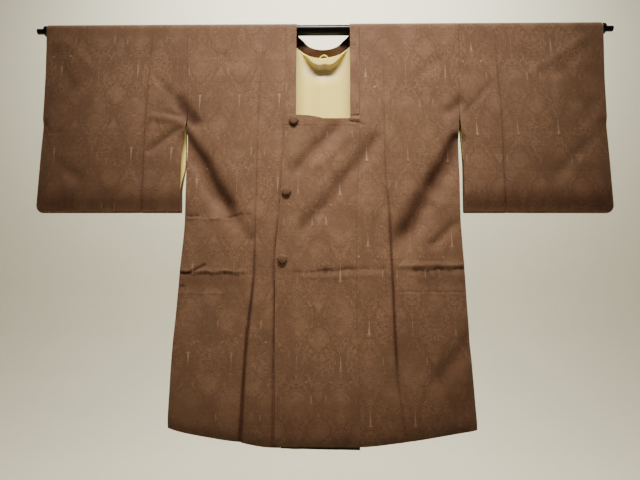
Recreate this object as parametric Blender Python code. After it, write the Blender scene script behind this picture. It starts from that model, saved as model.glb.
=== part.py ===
"""Michiyuki coat hung flat on a display rod.

Metres, +Z up. The origin is the rod's centre. +X runs along the rod to the viewer's right, which is
the wearer's left, and the front of the coat faces -Y. "down" is a distance below the rod's axis.

Every cloth piece is a wall on one grid: an inner face, and an outer face moved out from it. "out" is the
distance from the inner face of the body cloth, away from the inside of the coat.
"""

from bisect import bisect_right
from collections import namedtuple
from math import cos, exp, hypot, pi, radians, sin

import bmesh
import bpy
from mathutils import Matrix, Vector
from mathutils.bvhtree import BVHTree

# Cloth and clearances
GAP = 0.0003
LAP_GAP = 0.0008
WALL = 0.0020
LINING_WALL = 0.0010
LINING_GAP = 0.0006
WELD = 0.000001

# Rod: a lacquered bar, a knob at each end and the spigot that enters a stand
ROD_RADIUS = 0.0125
ROD_HALF = 0.6612
KNOB_RADIUS = 0.0130
KNOB_LENGTH = 0.0100
SPIGOT_RADIUS = 0.00675
SPIGOT_LENGTH = 0.0185
ROD_SIDES = 28
REST_RADIUS = ROD_RADIUS + GAP

# Widths from the centre back, and drops from the rod
ARMHOLE_X = 0.3210
ARMPIT_DOWN = 0.2310
SLEEVE_BOTTOM = 0.4430
SLEEVE_CORNER = 0.0180
WRIST_OPENING = 0.2250
SIDE_HEM = 0.9310
BACK_HEM = 0.9340
NECK_SEAM_X = 0.0865
NECK_HALF = {-1: 0.0620, 1: 0.0645}
NECK_SEAM_DOWN = 0.2400
BACK_NECK_SEAM = 0.0660
BACK_NECK_EDGE = 0.0470
BACK_SEAM_POWER = 1.5
BACK_EDGE_POWER = 1.2
YOKE_DOWN = 0.0900

# Depth of the inner face behind or before the rod's axis, in the middle of the coat and at its side
DepthAt = namedtuple("DepthAt", "down middle side")
FRONT_DEPTHS = (
    DepthAt(down=0.000, middle=REST_RADIUS, side=REST_RADIUS),
    DepthAt(down=0.030, middle=0.0134, side=0.0122),
    DepthAt(down=0.120, middle=0.0165, side=0.0102),
    DepthAt(down=0.240, middle=0.0205, side=0.0086),
    DepthAt(down=0.450, middle=0.0245, side=0.0088),
    DepthAt(down=0.700, middle=0.0265, side=0.0120),
    DepthAt(down=0.970, middle=0.0285, side=0.0165),
)
BACK_DEPTHS = (
    DepthAt(down=0.000, middle=REST_RADIUS, side=REST_RADIUS),
    DepthAt(down=0.030, middle=0.0132, side=0.0122),
    DepthAt(down=0.120, middle=0.0145, side=0.0102),
    DepthAt(down=0.240, middle=0.0155, side=0.0086),
    DepthAt(down=0.450, middle=0.0165, side=0.0088),
    DepthAt(down=0.700, middle=0.0180, side=0.0120),
    DepthAt(down=0.940, middle=0.0200, side=0.0165),
)
PANEL_BULGE_POWER = 2.4
SleeveDepthAt = namedtuple("SleeveDepthAt", "down depth")
SLEEVE_DEPTHS = (
    SleeveDepthAt(down=0.000, depth=REST_RADIUS),
    SleeveDepthAt(down=0.030, depth=0.0122),
    SleeveDepthAt(down=0.120, depth=0.0102),
    SleeveDepthAt(down=0.240, depth=0.0086),
    SleeveDepthAt(down=0.360, depth=0.0068),
    SleeveDepthAt(down=0.450, depth=0.0042),
)
SLEEVE_BILLOW = 0.0030
BILLOW_GROWS = (0.0200, 0.1800)
BILLOW_FADES = (0.3400, 0.4300)
CUFF_SEAM_HALF = 0.0002
CUFF_SEAM_REACH = 0.0300
CUFF_SEAM_FLAT = 0.0020
CUFF_LEVEL_REACH = 0.1200
CUFF_LEVEL_SHARE = 0.4000
WRIST_BLEND = 0.0120

# Edges and seams seen from the front
EdgeAt = namedtuple("EdgeAt", "down x")
BODY_SIDE = {
    -1: (
        EdgeAt(down=0.000, x=-0.3210),
        EdgeAt(down=0.205, x=-0.3210),
        EdgeAt(down=0.245, x=-0.3190),
        EdgeAt(down=0.451, x=-0.3200),
        EdgeAt(down=0.572, x=-0.3290),
        EdgeAt(down=0.679, x=-0.3360),
        EdgeAt(down=0.780, x=-0.3430),
        EdgeAt(down=0.932, x=-0.3480),
    ),
    1: (
        EdgeAt(down=0.000, x=0.3210),
        EdgeAt(down=0.205, x=0.3210),
        EdgeAt(down=0.245, x=0.3185),
        EdgeAt(down=0.418, x=0.3185),
        EdgeAt(down=0.577, x=0.3260),
        EdgeAt(down=0.686, x=0.3310),
        EdgeAt(down=0.798, x=0.3380),
        EdgeAt(down=0.932, x=0.3465),
    ),
}
SLEEVE_INNER_EDGE = {
    -1: (
        EdgeAt(down=0.000, x=-0.3210),
        EdgeAt(down=0.205, x=-0.3210),
        EdgeAt(down=0.266, x=-0.3270),
        EdgeAt(down=0.310, x=-0.3320),
        EdgeAt(down=0.352, x=-0.3320),
        EdgeAt(down=0.440, x=-0.3300),
    ),
    1: (
        EdgeAt(down=0.000, x=0.3210),
        EdgeAt(down=0.205, x=0.3210),
        EdgeAt(down=0.255, x=0.3250),
        EdgeAt(down=0.334, x=0.3290),
        EdgeAt(down=0.442, x=0.3280),
    ),
}
CUFF_EDGE = (
    EdgeAt(down=0.000, x=0.6605),
    EdgeAt(down=0.050, x=0.6610),
    EdgeAt(down=0.225, x=0.6650),
    EdgeAt(down=0.300, x=0.6690),
    EdgeAt(down=0.440, x=0.6750),
)
FRONT_SEAM = {
    -1: (
        EdgeAt(down=0.000, x=-NECK_SEAM_X),
        EdgeAt(down=0.240, x=-NECK_SEAM_X),
        EdgeAt(down=0.420, x=-0.0880),
        EdgeAt(down=0.560, x=-0.0940),
        EdgeAt(down=0.970, x=-0.0920),
    ),
    1: (
        EdgeAt(down=0.000, x=NECK_SEAM_X),
        EdgeAt(down=0.240, x=NECK_SEAM_X),
        EdgeAt(down=0.479, x=0.0780),
        EdgeAt(down=0.690, x=0.0770),
        EdgeAt(down=0.805, x=0.0825),
        EdgeAt(down=0.970, x=0.0830),
    ),
}
TOP_BAND_EDGE = (
    EdgeAt(down=0.215, x=-0.0915),
    EdgeAt(down=0.256, x=-0.0910),
    EdgeAt(down=0.419, x=-0.0970),
    EdgeAt(down=0.556, x=-0.1070),
    EdgeAt(down=0.970, x=-0.1045),
)
UNDER_BAND_INSET = 0.0045
HemAt = namedtuple("HemAt", "x down")
FRONT_HEM = (
    HemAt(x=-0.348, down=SIDE_HEM),
    HemAt(x=-0.308, down=0.940),
    HemAt(x=-0.257, down=0.948),
    HemAt(x=-0.182, down=0.958),
    HemAt(x=-0.108, down=0.968),
    HemAt(x=0.083, down=0.968),
    HemAt(x=0.183, down=0.956),
    HemAt(x=0.275, down=0.942),
    HemAt(x=0.348, down=SIDE_HEM),
)
UNDER_BAND_DROP = 0.0055

# The top front band climbs over the cloth under it between these two places
LAP_START_X = -0.0400
LAP_FULL_X = -0.0595

# The neck opening's lower edge, which slopes, and the strip sewn there
NECK_EDGE_DOWN = {-1: 0.2150, 1: 0.2225}
UNDER_STRIP_X = -0.0617

# Pressed folds along the body and the sleeves: the cloth on their outer side drops back
PressAt = namedtuple("PressAt", "down x depth")
FRONT_PRESS = {
    -1: (
        PressAt(down=0.000, x=-0.1400, depth=0.0000),
        PressAt(down=0.060, x=-0.1430, depth=0.0008),
        PressAt(down=0.184, x=-0.1500, depth=0.0015),
        PressAt(down=0.419, x=-0.1540, depth=0.0018),
        PressAt(down=0.579, x=-0.1560, depth=0.0028),
        PressAt(down=0.736, x=-0.1710, depth=0.0042),
        PressAt(down=0.960, x=-0.1820, depth=0.0042),
    ),
    1: (
        PressAt(down=0.000, x=0.1410, depth=0.0000),
        PressAt(down=0.090, x=0.1430, depth=0.0010),
        PressAt(down=0.349, x=0.1460, depth=0.0020),
        PressAt(down=0.450, x=0.1540, depth=0.0034),
        PressAt(down=0.578, x=0.1590, depth=0.0032),
        PressAt(down=0.750, x=0.1650, depth=0.0024),
        PressAt(down=0.952, x=0.1850, depth=0.0018),
    ),
}
BACK_PRESS = (
    PressAt(down=0.000, x=0.1500, depth=0.0000),
    PressAt(down=0.340, x=0.1510, depth=0.0000),
    PressAt(down=0.600, x=0.1560, depth=0.0026),
    PressAt(down=0.940, x=0.1700, depth=0.0030),
)
SLEEVE_PRESS = (
    PressAt(down=0.000, x=0.4180, depth=0.0000),
    PressAt(down=0.080, x=0.4180, depth=0.0012),
    PressAt(down=0.440, x=0.4170, depth=0.0018),
)
PRESS_INNER = 0.0030
PRESS_OUTER = 0.0180

# Soft troughs where the hanging cloth sinks between its ends, across the front and the back
Trough = namedtuple("Trough", "x0 down0 x1 down1 half_width depth")
FRONT_TROUGHS = (
    Trough(x0=-0.345, down0=0.165, x1=-0.280, down1=0.236, half_width=0.013, depth=0.0035),
    Trough(x0=-0.308, down0=0.250, x1=-0.189, down1=0.455, half_width=0.015, depth=0.0060),
    Trough(x0=0.308, down0=0.268, x1=0.160, down1=0.505, half_width=0.016, depth=0.0060),
    Trough(x0=0.027, down0=0.268, x1=-0.088, down1=0.361, half_width=0.016, depth=0.0036),
    Trough(x0=0.133, down0=0.249, x1=-0.069, down1=0.508, half_width=0.018, depth=0.0042),
    Trough(x0=0.630, down0=0.040, x1=0.545, down1=0.150, half_width=0.016, depth=0.0022),
)
BACK_TROUGHS = (
    Trough(x0=-0.310, down0=0.390, x1=-0.160, down1=0.660, half_width=0.020, depth=0.0045),
    Trough(x0=0.310, down0=0.370, x1=0.180, down1=0.600, half_width=0.019, depth=0.0050),
)
TROUGH_FADE = 0.22

# Side gussets, folded inwards: their whole width at the armpit and at the hem
GUSSET_TOP_WIDTH = 0.0250
GUSSET_HEM_WIDTH = 0.0640
GUSSET_WALL = 0.0024
GUSSET_GAP = 0.00045

# Linings that show: the yoke in the back, and the back of each sleeve
YOKE_HALF = 0.2900
YOKE_TOP = 0.0240
YOKE_BOTTOM = 0.3100
SLEEVE_LINING_TOP = 0.0300
SLEEVE_LINING_BOTTOM = 0.4050
SLEEVE_LINING_OUTER_X = 0.6000
SLEEVE_LINING_EDGE = 0.0020

# Buttons, domes covered in the coat's cloth
BUTTON_RADIUS = 0.0110
BUTTON_HEIGHT = 0.0068
BUTTON_SIDES = 20
ButtonAt = namedtuple("ButtonAt", "x down")
BUTTONS = (
    ButtonAt(x=-0.0670, down=0.2350),
    ButtonAt(x=-0.0825, down=0.4020),
    ButtonAt(x=-0.0905, down=0.5560),
)

# Hanging loop at the back of the neck
LOOP_RADIUS = 0.0015
LOOP_HALF_WIDTH = 0.0110
LOOP_HEIGHT = 0.0130
LOOP_X = 0.0030
LOOP_FOOT_DOWN = 0.0690
LOOP_POINTS = 13

# Grid steps
INNER_STEPS = 4
OUTER_STEPS = 8
LOWER_FRONT_STEPS = 20
UPPER_FRONT_STEPS = 7
ROD_STEPS = 8
NECK_STEPS = 6
BACK_STEPS = 11
BAND_STEPS = 9
SLEEVE_STEPS = 9
CORNER_STEPS = 3
SLEEVE_DROP_STEPS = 10
SLEEVE_TURN_STEPS = 4

YOKE_STEPS = 20
LINING_STEPS = 8
GUSSET_STEPS = 4
SEAM_STEPS = 2

# Looks: colour and roughness
CLOTH_LOOK = ((0.190, 0.098, 0.056), 0.6)
LINING_LOOK = ((0.800, 0.700, 0.470), 0.4)
LACQUER_LOOK = ((0.006, 0.006, 0.007), 0.2)


# Small tools for curves

def mix(first, second, share):
    return first + (second - first) * share


def eased(value, start, end):
    """0 up to start and 1 from end on, with soft shoulders."""
    share = min(1.0, max(0.0, (value - start) / (end - start)))
    return share * share * (3 - 2 * share)


def curve_at(table, place, column):
    """The named column of a table, on a smooth curve through its rows, at a place along its first column."""
    places = [row[0] for row in table]
    values = [getattr(row, column) for row in table]
    if place <= places[0]:
        return values[0]
    if place >= places[-1]:
        return values[-1]
    i = bisect_right(places, place) - 1

    def secant(k):
        k = min(len(table) - 2, max(0, k))
        return (values[k + 1] - values[k]) / (places[k + 1] - places[k])

    def slope(k):
        before = secant(k - 1)
        after = secant(k)
        return 2 * before * after / (before + after) if before * after > 0 else 0.0

    span = places[i + 1] - places[i]
    t = (place - places[i]) / span
    rise = values[i + 1] - values[i]
    start = slope(i) * span
    end = slope(i + 1) * span
    return values[i] + t * (start + t * (3 * rise - 2 * start - end + t * (start + end - 2 * rise)))


def steps(start, end, count):
    """Even steps from start to end, both included."""
    return [mix(start, end, i / count) for i in range(count + 1)]


# Form of the hanging cloth

def trough_depth(x, down, troughs):
    """How far the soft troughs take the cloth in at this place."""
    total = 0.0
    for fold in troughs:
        run_x = fold.x1 - fold.x0
        run_down = fold.down1 - fold.down0
        length = hypot(run_x, run_down)
        along = ((x - fold.x0) * run_x + (down - fold.down0) * run_down) / length
        aside = ((x - fold.x0) * run_down - (down - fold.down0) * run_x) / length
        ends = eased(along, 0, TROUGH_FADE * length) * eased(length - along, 0, TROUGH_FADE * length)
        total += fold.depth * ends * exp(-((aside / fold.half_width) ** 2))
    return total


def press_depth(outward, depth):
    """A pressed fold: a sharp step on its inner side, and a soft rise on its outer side."""
    reach = PRESS_OUTER if outward > 0 else -PRESS_INNER
    return depth * exp(-outward / reach)


def side_of(x):
    return 1 if x > 0 else -1


def panel_depth(x, down, depths):
    """The body's own depth, fullest in the middle and flat at the sides."""
    half = abs(curve_at(BODY_SIDE[side_of(x)], down, "x"))
    across = min(1.0, abs(x) / half)
    side = curve_at(depths, down, "side")
    return side + (curve_at(depths, down, "middle") - side) * (1 - across ** PANEL_BULGE_POWER)


def front_depth(x, down):
    press = FRONT_PRESS[side_of(x)]
    outward = side_of(x) * (x - curve_at(press, down, "x"))
    pressed = press_depth(outward, curve_at(press, down, "depth"))
    return panel_depth(x, down, FRONT_DEPTHS) - trough_depth(x, down, FRONT_TROUGHS) - pressed


def back_depth(x, down):
    outward = abs(x) - curve_at(BACK_PRESS, down, "x")
    pressed = press_depth(outward, curve_at(BACK_PRESS, down, "depth"))
    return panel_depth(x, down, BACK_DEPTHS) - trough_depth(x, down, BACK_TROUGHS) - pressed


def sleeve_billow(x, down):
    """The sleeve's plain depth: even with the body at the armhole, full in the middle and flatter at the cuff."""
    cuff = curve_at(CUFF_EDGE, down, "x")
    across = min(1.0, max(0.0, (abs(x) - ARMHOLE_X) / (cuff - ARMHOLE_X)))
    level = eased(down, *BILLOW_GROWS)
    flatter = 1 - CUFF_LEVEL_SHARE * eased(abs(x), cuff - CUFF_LEVEL_REACH, cuff) * level
    swell = SLEEVE_BILLOW * sin(pi * across) ** 2 * level * (1 - eased(down, *BILLOW_FADES))
    return curve_at(SLEEVE_DEPTHS, down, "depth") * flatter + swell


def cuff_sewn(x, down):
    """1 where the front and back of the sleeve are sewn together at the cuff, below the wrist opening."""
    cuff = curve_at(CUFF_EDGE, down, "x")
    below_wrist = eased(down, WRIST_OPENING - WRIST_BLEND, WRIST_OPENING + WRIST_BLEND)
    return eased(abs(x), cuff - CUFF_SEAM_REACH, cuff - CUFF_SEAM_FLAT) * below_wrist


def sleeve_back_depth(x, down):
    return mix(sleeve_billow(x, down), CUFF_SEAM_HALF, cuff_sewn(x, down))


def sleeve_front_depth(x, down):
    outward = abs(x) - curve_at(SLEEVE_PRESS, down, "x")
    pressed = press_depth(outward, curve_at(SLEEVE_PRESS, down, "depth"))
    depth = sleeve_billow(x, down) - pressed - trough_depth(x, down, FRONT_TROUGHS)
    return mix(depth, CUFF_SEAM_HALF, cuff_sewn(x, down))


def front_point(x, down, out):
    return Vector((x, -(front_depth(x, down) + out), -down))


def rod_point(x, turn, out):
    """Over the rod: turn is 0 at the front, level with the axis, and pi at the back."""
    reach = REST_RADIUS + out
    return Vector((x, -reach * cos(turn), reach * sin(turn)))


def back_point(x, down, out):
    return Vector((x, back_depth(x, down) + out, -down))


def lap(x):
    """How far out the top front band's inner face lies: level with the body, then over the other front."""
    return (WALL + LAP_GAP) * eased(-x, -LAP_START_X, -LAP_FULL_X)


# Building walls and other solids

def material(name, colour, roughness):
    made = bpy.data.materials.new(name)
    made.use_nodes = True
    shader = made.node_tree.nodes["Principled BSDF"]
    shader.inputs["Base Color"].default_value = (*colour, 1.0)
    shader.inputs["Roughness"].default_value = roughness
    shader.inputs["Metallic"].default_value = 0.0
    return made


def finish(name, form, look):
    """Turns the faces outwards and makes the object."""
    bmesh.ops.recalc_face_normals(form, faces=form.faces)
    if form.calc_volume(signed=True) < 0:
        bmesh.ops.reverse_faces(form, faces=form.faces)
    mesh = bpy.data.meshes.new(name)
    form.to_mesh(mesh)
    form.free()
    mesh.shade_smooth()
    mesh.set_sharp_from_angle(angle=radians(40))
    mesh.materials.append(material(name, *look))
    made = bpy.data.objects.new(name, mesh)
    bpy.context.collection.objects.link(made)
    return made


def wall(name, across, along, point, inner, outer, look, ring=False):
    """A wall on one grid. point(a, b, out) places it, at inner for one face and at outer for the other.

    A ring's last line along is its first one again, and both are merged before the outer face is made.
    """
    form = bmesh.new()
    columns = len(across) - 1
    rows = len(along) - 1
    bmesh.ops.create_grid(form, x_segments=columns, y_segments=rows, size=0.5)
    column_of = form.verts.layers.int.new("column")
    row_of = form.verts.layers.int.new("row")
    for vert in form.verts:
        vert[column_of] = round((vert.co.x + 0.5) * columns)
        vert[row_of] = round((vert.co.y + 0.5) * rows)
        vert.co = point(across[vert[column_of]], along[vert[row_of]], inner)
    if ring:
        bmesh.ops.remove_doubles(form, verts=form.verts, dist=WELD)
    raised = bmesh.ops.extrude_face_region(form, geom=list(form.faces))["geom"]
    for vert in raised:
        if isinstance(vert, bmesh.types.BMVert):
            vert.co = point(across[vert[column_of]], along[vert[row_of]], outer)
    return finish(name, form, look)


def turned(name, profile, sides, look):
    """A solid turned about its own Z axis, from (radius, height) points that start and end on the axis."""
    form = bmesh.new()
    verts = [form.verts.new((radius, 0, height)) for radius, height in profile]
    edges = [form.edges.new(pair) for pair in zip(verts, verts[1:])]
    bmesh.ops.spin(form, geom=verts + edges, axis=(0, 0, 1), angle=2 * pi, steps=sides, use_merge=True)
    bmesh.ops.remove_doubles(form, verts=form.verts, dist=WELD)
    return finish(name, form, look)


# Cloth pieces

def body(side, name):
    """One length of cloth: up the front, over the rod, round the back of the neck and down the back."""
    press = FRONT_PRESS[side]

    def across_at(a, inner_x, fold_x, outer_x):
        return mix(inner_x, fold_x, a) if a <= 1 else mix(fold_x, outer_x, a - 1)

    def edge_x(down):
        x = abs(curve_at(BODY_SIDE[side], down, "x"))
        return side * (x - GAP / 2)

    def front_x(a, down):
        seam_x = curve_at(FRONT_SEAM[side], down, "x") + side * GAP / 2
        return across_at(a, seam_x, curve_at(press, down, "x"), edge_x(down))

    def back_x(a, down, inner_x):
        return across_at(a, inner_x, side * curve_at(BACK_PRESS, down, "x"), edge_x(down))

    def point(a, b, out):
        if b <= 2:
            hem = curve_at(FRONT_HEM, front_x(a, SIDE_HEM), "down")
            down = mix(hem, ARMPIT_DOWN, b) if b <= 1 else mix(ARMPIT_DOWN, 0, b - 1)
            return front_point(front_x(a, down), down, out)
        if b <= 3:
            return rod_point(front_x(a, 0), pi * (b - 2), out)
        if b <= 4:
            turn = pi / 2 * (b - 3)
            inner_x = side * ((NECK_SEAM_X + GAP / 2) * cos(turn) + GAP / 2)
            inner_down = (BACK_NECK_SEAM + GAP / 2) * sin(turn) ** BACK_SEAM_POWER
            outer_down = YOKE_DOWN * (b - 3)
        else:
            inner_x = side * GAP / 2
            inner_down = mix(BACK_NECK_SEAM + GAP / 2, BACK_HEM, b - 4)
            outer_down = mix(YOKE_DOWN, SIDE_HEM, b - 4)
        x = back_x(a, outer_down, inner_x)
        down = mix(inner_down, outer_down, (x - inner_x) / (edge_x(outer_down) - inner_x))
        return back_point(x, down, out)

    across = steps(0, 1, INNER_STEPS) + steps(1, 2, OUTER_STEPS)[1:]
    along = steps(0, 1, LOWER_FRONT_STEPS)
    along += steps(1, 2, UPPER_FRONT_STEPS)[1:]
    along += steps(2, 3, ROD_STEPS)[1:]
    along += steps(3, 4, NECK_STEPS)[1:]
    along += steps(4, 5, BACK_STEPS)[1:]
    return wall(name, across, along, point, 0, WALL, CLOTH_LOOK)


def sleeve_bottom(x):
    """The bottom edge, rounded at the outer corner."""
    past = max(0.0, abs(x) - (CUFF_EDGE[-1].x - SLEEVE_CORNER))
    return SLEEVE_BOTTOM - SLEEVE_CORNER + (SLEEVE_CORNER ** 2 - min(past, SLEEVE_CORNER) ** 2) ** 0.5


def sleeve(side, name):
    """A flat tube folded over the rod, with its bottom turned up and its outer edge sewn below the wrist."""

    def sleeve_x(a, down):
        inner_x = curve_at(SLEEVE_INNER_EDGE[side], down, "x") + side * GAP / 2
        return mix(inner_x, side * curve_at(CUFF_EDGE, down, "x"), a)

    def point(a, b, out):
        bottom = sleeve_bottom(sleeve_x(a, SLEEVE_BOTTOM))
        turn_down = bottom - sleeve_back_depth(sleeve_x(a, bottom), bottom) - WALL
        if b <= 1:
            down = mix(turn_down, 0, b)
            x = sleeve_x(a, down)
            return Vector((x, -(sleeve_front_depth(x, down) + out), -down))
        if b <= 2:
            return rod_point(sleeve_x(a, 0), pi * (b - 1), out)
        if b <= 3:
            down = mix(0, turn_down, b - 2)
            x = sleeve_x(a, down)
            return Vector((x, sleeve_back_depth(x, down) + out, -down))
        x = sleeve_x(a, turn_down)
        turn = pi * (b - 3)
        reach = mix(sleeve_back_depth(x, turn_down), sleeve_front_depth(x, turn_down), b - 3) + out
        return Vector((x, reach * cos(turn), -(turn_down + reach * sin(turn))))

    flat = 1 - SLEEVE_CORNER / (CUFF_EDGE[-1].x - ARMHOLE_X)
    across = steps(0, flat, SLEEVE_STEPS)
    across += [flat + (1 - flat) * sin(pi / 2 * i / CORNER_STEPS) for i in range(1, CORNER_STEPS + 1)]
    along = steps(0, 1, SLEEVE_DROP_STEPS)
    along += steps(1, 2, ROD_STEPS)[1:]
    along += steps(2, 3, SLEEVE_DROP_STEPS)[1:]
    along += steps(3, 4, SLEEVE_TURN_STEPS)[1:]
    return wall(name, across, along, point, 0, WALL, CLOTH_LOOK, ring=True)


def gusset(side, name):
    """The side gusset, folded inwards between the front's edge and the back's."""

    def point(a, b, out):
        down = mix(SIDE_HEM, ARMPIT_DOWN, b)
        edge = abs(curve_at(BODY_SIDE[side], down, "x")) - GAP / 2
        reach = (front_depth if a < 0 else back_depth)(side * edge, down) - GUSSET_GAP
        width = mix(GUSSET_HEM_WIDTH, GUSSET_TOP_WIDTH, b)
        fold = (max(width / 2, reach + GUSSET_WALL) ** 2 - reach ** 2) ** 0.5
        return Vector((side * (edge - fold * (1 - abs(a)) - out), a * reach, -down))

    across = steps(-1, 1, GUSSET_STEPS)
    along = steps(0, 1, LOWER_FRONT_STEPS)
    return wall(name, across, along, point, 0, GUSSET_WALL, CLOTH_LOOK)


def top_band_x(a, down):
    """Places across the front bands, from the seam at the wearer's left to the free edge."""
    seam_x = curve_at(FRONT_SEAM[1], down, "x") - GAP / 2
    return mix(seam_x, curve_at(TOP_BAND_EDGE, down, "x"), a)


def under_band_x(a, down):
    """The same lines on the cloth underneath, which ends before both seams."""
    seam_x = curve_at(FRONT_SEAM[-1], down, "x") + GAP / 2
    free_x = curve_at(FRONT_SEAM[1], down, "x") - UNDER_BAND_INSET
    return min(free_x, max(seam_x, top_band_x(a, down)))


def band_down(a, b):
    hem = curve_at(FRONT_HEM, top_band_x(a, SIDE_HEM), "down")
    return mix(hem, NECK_SEAM_DOWN + GAP / 2, b)


def front_band_left():
    """The wide band on top. Its free edge laps over the other front."""

    def point(a, b, out):
        down = band_down(a, b)
        x = top_band_x(a, down)
        return front_point(x, down, lap(x) + out)

    across = steps(0, 1, BAND_STEPS)
    along = steps(0, 1, LOWER_FRONT_STEPS)
    return wall("front_band_left", across, along, point, 0, WALL, CLOTH_LOOK)


def front_band_right():
    """The band under it, which reaches back to the wearer's left seam and hangs a little lower."""

    def point(a, b, out):
        down = band_down(a, b) + (UNDER_BAND_DROP if b == 0 else 0)
        x = under_band_x(a, down)
        return front_point(x, down, lap(x) + out)

    across = steps(0, 1, BAND_STEPS)
    along = steps(0, 1, LOWER_FRONT_STEPS)
    outer = -LAP_GAP
    return wall("front_band_right", across, along, point, outer - WALL, outer, CLOTH_LOOK)


def neck_curve(turn, a):
    """The back of the neck, seen flat: turn runs from the wearer's right to the left, a from seam to edge."""
    side = side_of(-cos(turn))
    seam_x = -(NECK_SEAM_X - GAP / 2) * cos(turn)
    seam_down = (BACK_NECK_SEAM - GAP / 2) * sin(turn) ** BACK_SEAM_POWER
    edge_x = -NECK_HALF[side] * cos(turn)
    edge_down = BACK_NECK_EDGE * sin(turn) ** BACK_EDGE_POWER
    return mix(seam_x, edge_x, a), mix(seam_down, edge_down, a)


def neck_band():
    """The collar strip: up one side of the neck, over the rod, round the back and down the other side."""

    def strip_x(side, a):
        return side * mix(NECK_SEAM_X - GAP / 2, NECK_HALF[side], a)

    def point(a, b, out):
        if b <= 1:
            return front_point(strip_x(-1, a), mix(NECK_SEAM_DOWN - GAP / 2, 0, b), out)
        if b <= 2:
            return rod_point(strip_x(-1, a), pi * (b - 1), out)
        if b <= 3:
            return back_point(*neck_curve(min(pi, pi * (b - 2)), a), out)
        if b <= 4:
            return rod_point(strip_x(1, a), pi * (4 - b), out)
        foot = mix(NECK_SEAM_DOWN, NECK_EDGE_DOWN[1], a) - GAP
        return front_point(strip_x(1, a), mix(0, foot, b - 4), out)

    along = steps(0, 1, UPPER_FRONT_STEPS)
    along += steps(1, 2, ROD_STEPS)[1:]
    along += steps(2, 3, 2 * NECK_STEPS)[1:]
    along += steps(3, 4, ROD_STEPS)[1:]
    along += steps(4, 5, UPPER_FRONT_STEPS)[1:]
    return wall("neck_band", steps(0, 1, SEAM_STEPS), along, point, 0, WALL, CLOTH_LOOK)


def strip_down(a, b):
    """The strip across the neck's lower edge, from its seam (b = 0) up to the sloping edge (b = 1)."""
    return mix(NECK_SEAM_DOWN - GAP / 2, mix(NECK_EDGE_DOWN[1], NECK_EDGE_DOWN[-1], a), b)


def neck_band_front():
    """The strip across the top of the front band, mitred into the neck band at the wearer's left."""

    def point(a, b, out):
        lower_x = mix(NECK_SEAM_X - GAP, TOP_BAND_EDGE[0].x, a)
        upper_x = mix(NECK_HALF[1] - GAP, TOP_BAND_EDGE[0].x, a)
        x = mix(lower_x, upper_x, b)
        return front_point(x, strip_down(a, b), lap(x) + out)

    return wall("neck_band_front", steps(0, 1, BAND_STEPS), [0, 1], point, 0, WALL, CLOTH_LOOK)


def neck_band_under():
    """The same strip of the front underneath."""

    def point(a, b, out):
        x = max(UNDER_STRIP_X, min(NECK_HALF[1], mix(NECK_SEAM_X, TOP_BAND_EDGE[0].x, a)))
        return front_point(x, strip_down(a, b) + GAP * b, lap(x) + out)

    outer = -LAP_GAP
    across = steps(0, (NECK_SEAM_X - UNDER_STRIP_X) / (NECK_SEAM_X - TOP_BAND_EDGE[0].x), BAND_STEPS)
    return wall("neck_band_under", across, [0, 1], point, outer - WALL, outer, CLOTH_LOOK)


def lining_yoke():
    """The satin that shows in the back, from the collar's seam down."""

    def top_at(x):
        inside = max(0.0, 1 - (x / NECK_SEAM_X) ** 2)
        return max(YOKE_TOP, BACK_NECK_SEAM * inside ** (BACK_SEAM_POWER / 2))

    def point(a, b, out):
        x = mix(-YOKE_HALF, YOKE_HALF, a)
        return back_point(x, mix(YOKE_BOTTOM, top_at(x), b), out)

    inner = -LINING_GAP - LINING_WALL
    across = steps(0, 1, YOKE_STEPS)
    along = steps(0, 1, LINING_STEPS)
    return wall("lining_yoke", across, along, point, inner, -LINING_GAP, LINING_LOOK)


def lining_sleeve(side, name):
    """The sleeve's lining on its back cloth, which shows at the open inner edge."""

    def point(a, b, out):
        down = mix(SLEEVE_LINING_BOTTOM, SLEEVE_LINING_TOP, b)
        edge_x = abs(curve_at(SLEEVE_INNER_EDGE[side], down, "x")) + SLEEVE_LINING_EDGE
        x = side * mix(edge_x, SLEEVE_LINING_OUTER_X, a)
        return Vector((x, sleeve_back_depth(x, down) + out, -down))

    inner = -LINING_GAP - LINING_WALL
    across = steps(0, 1, LINING_STEPS)
    return wall(name, across, across, point, inner, -LINING_GAP, LINING_LOOK)


# Trim and rod

def button(place, panels, name):
    """A domed button whose flat back lies just off the cloth under it."""
    radius = BUTTON_RADIUS
    height = BUTTON_HEIGHT
    profile = [(0, 0), (0.90 * radius, 0), (radius, 0.14 * height), (0.97 * radius, 0.42 * height)]
    profile += [(0.80 * radius, 0.74 * height), (0.46 * radius, 0.94 * height), (0, height)]
    made = turned(name, profile, BUTTON_SIDES, CLOTH_LOOK)
    rim = [(place.x, place.down)]
    rim += [
        (place.x + radius * reach * cos(turn), place.down + radius * reach * sin(turn))
        for reach in (0.45, 0.9)
        for turn in steps(0, 2 * pi, 16)
    ]
    forward = Vector((0, 1, 0))
    starts = [Vector((x, -0.1, -down)) for x, down in rim]
    hits = [panel.ray_cast(start, forward)[0] for panel in panels for start in starts]
    nearest = min(hit.y for hit in hits if hit is not None)
    lie_flat = Matrix.Rotation(pi / 2, 4, "X")
    made.data.transform(Matrix.Translation((place.x, nearest - GAP, -place.down)) @ lie_flat)
    return made


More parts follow.
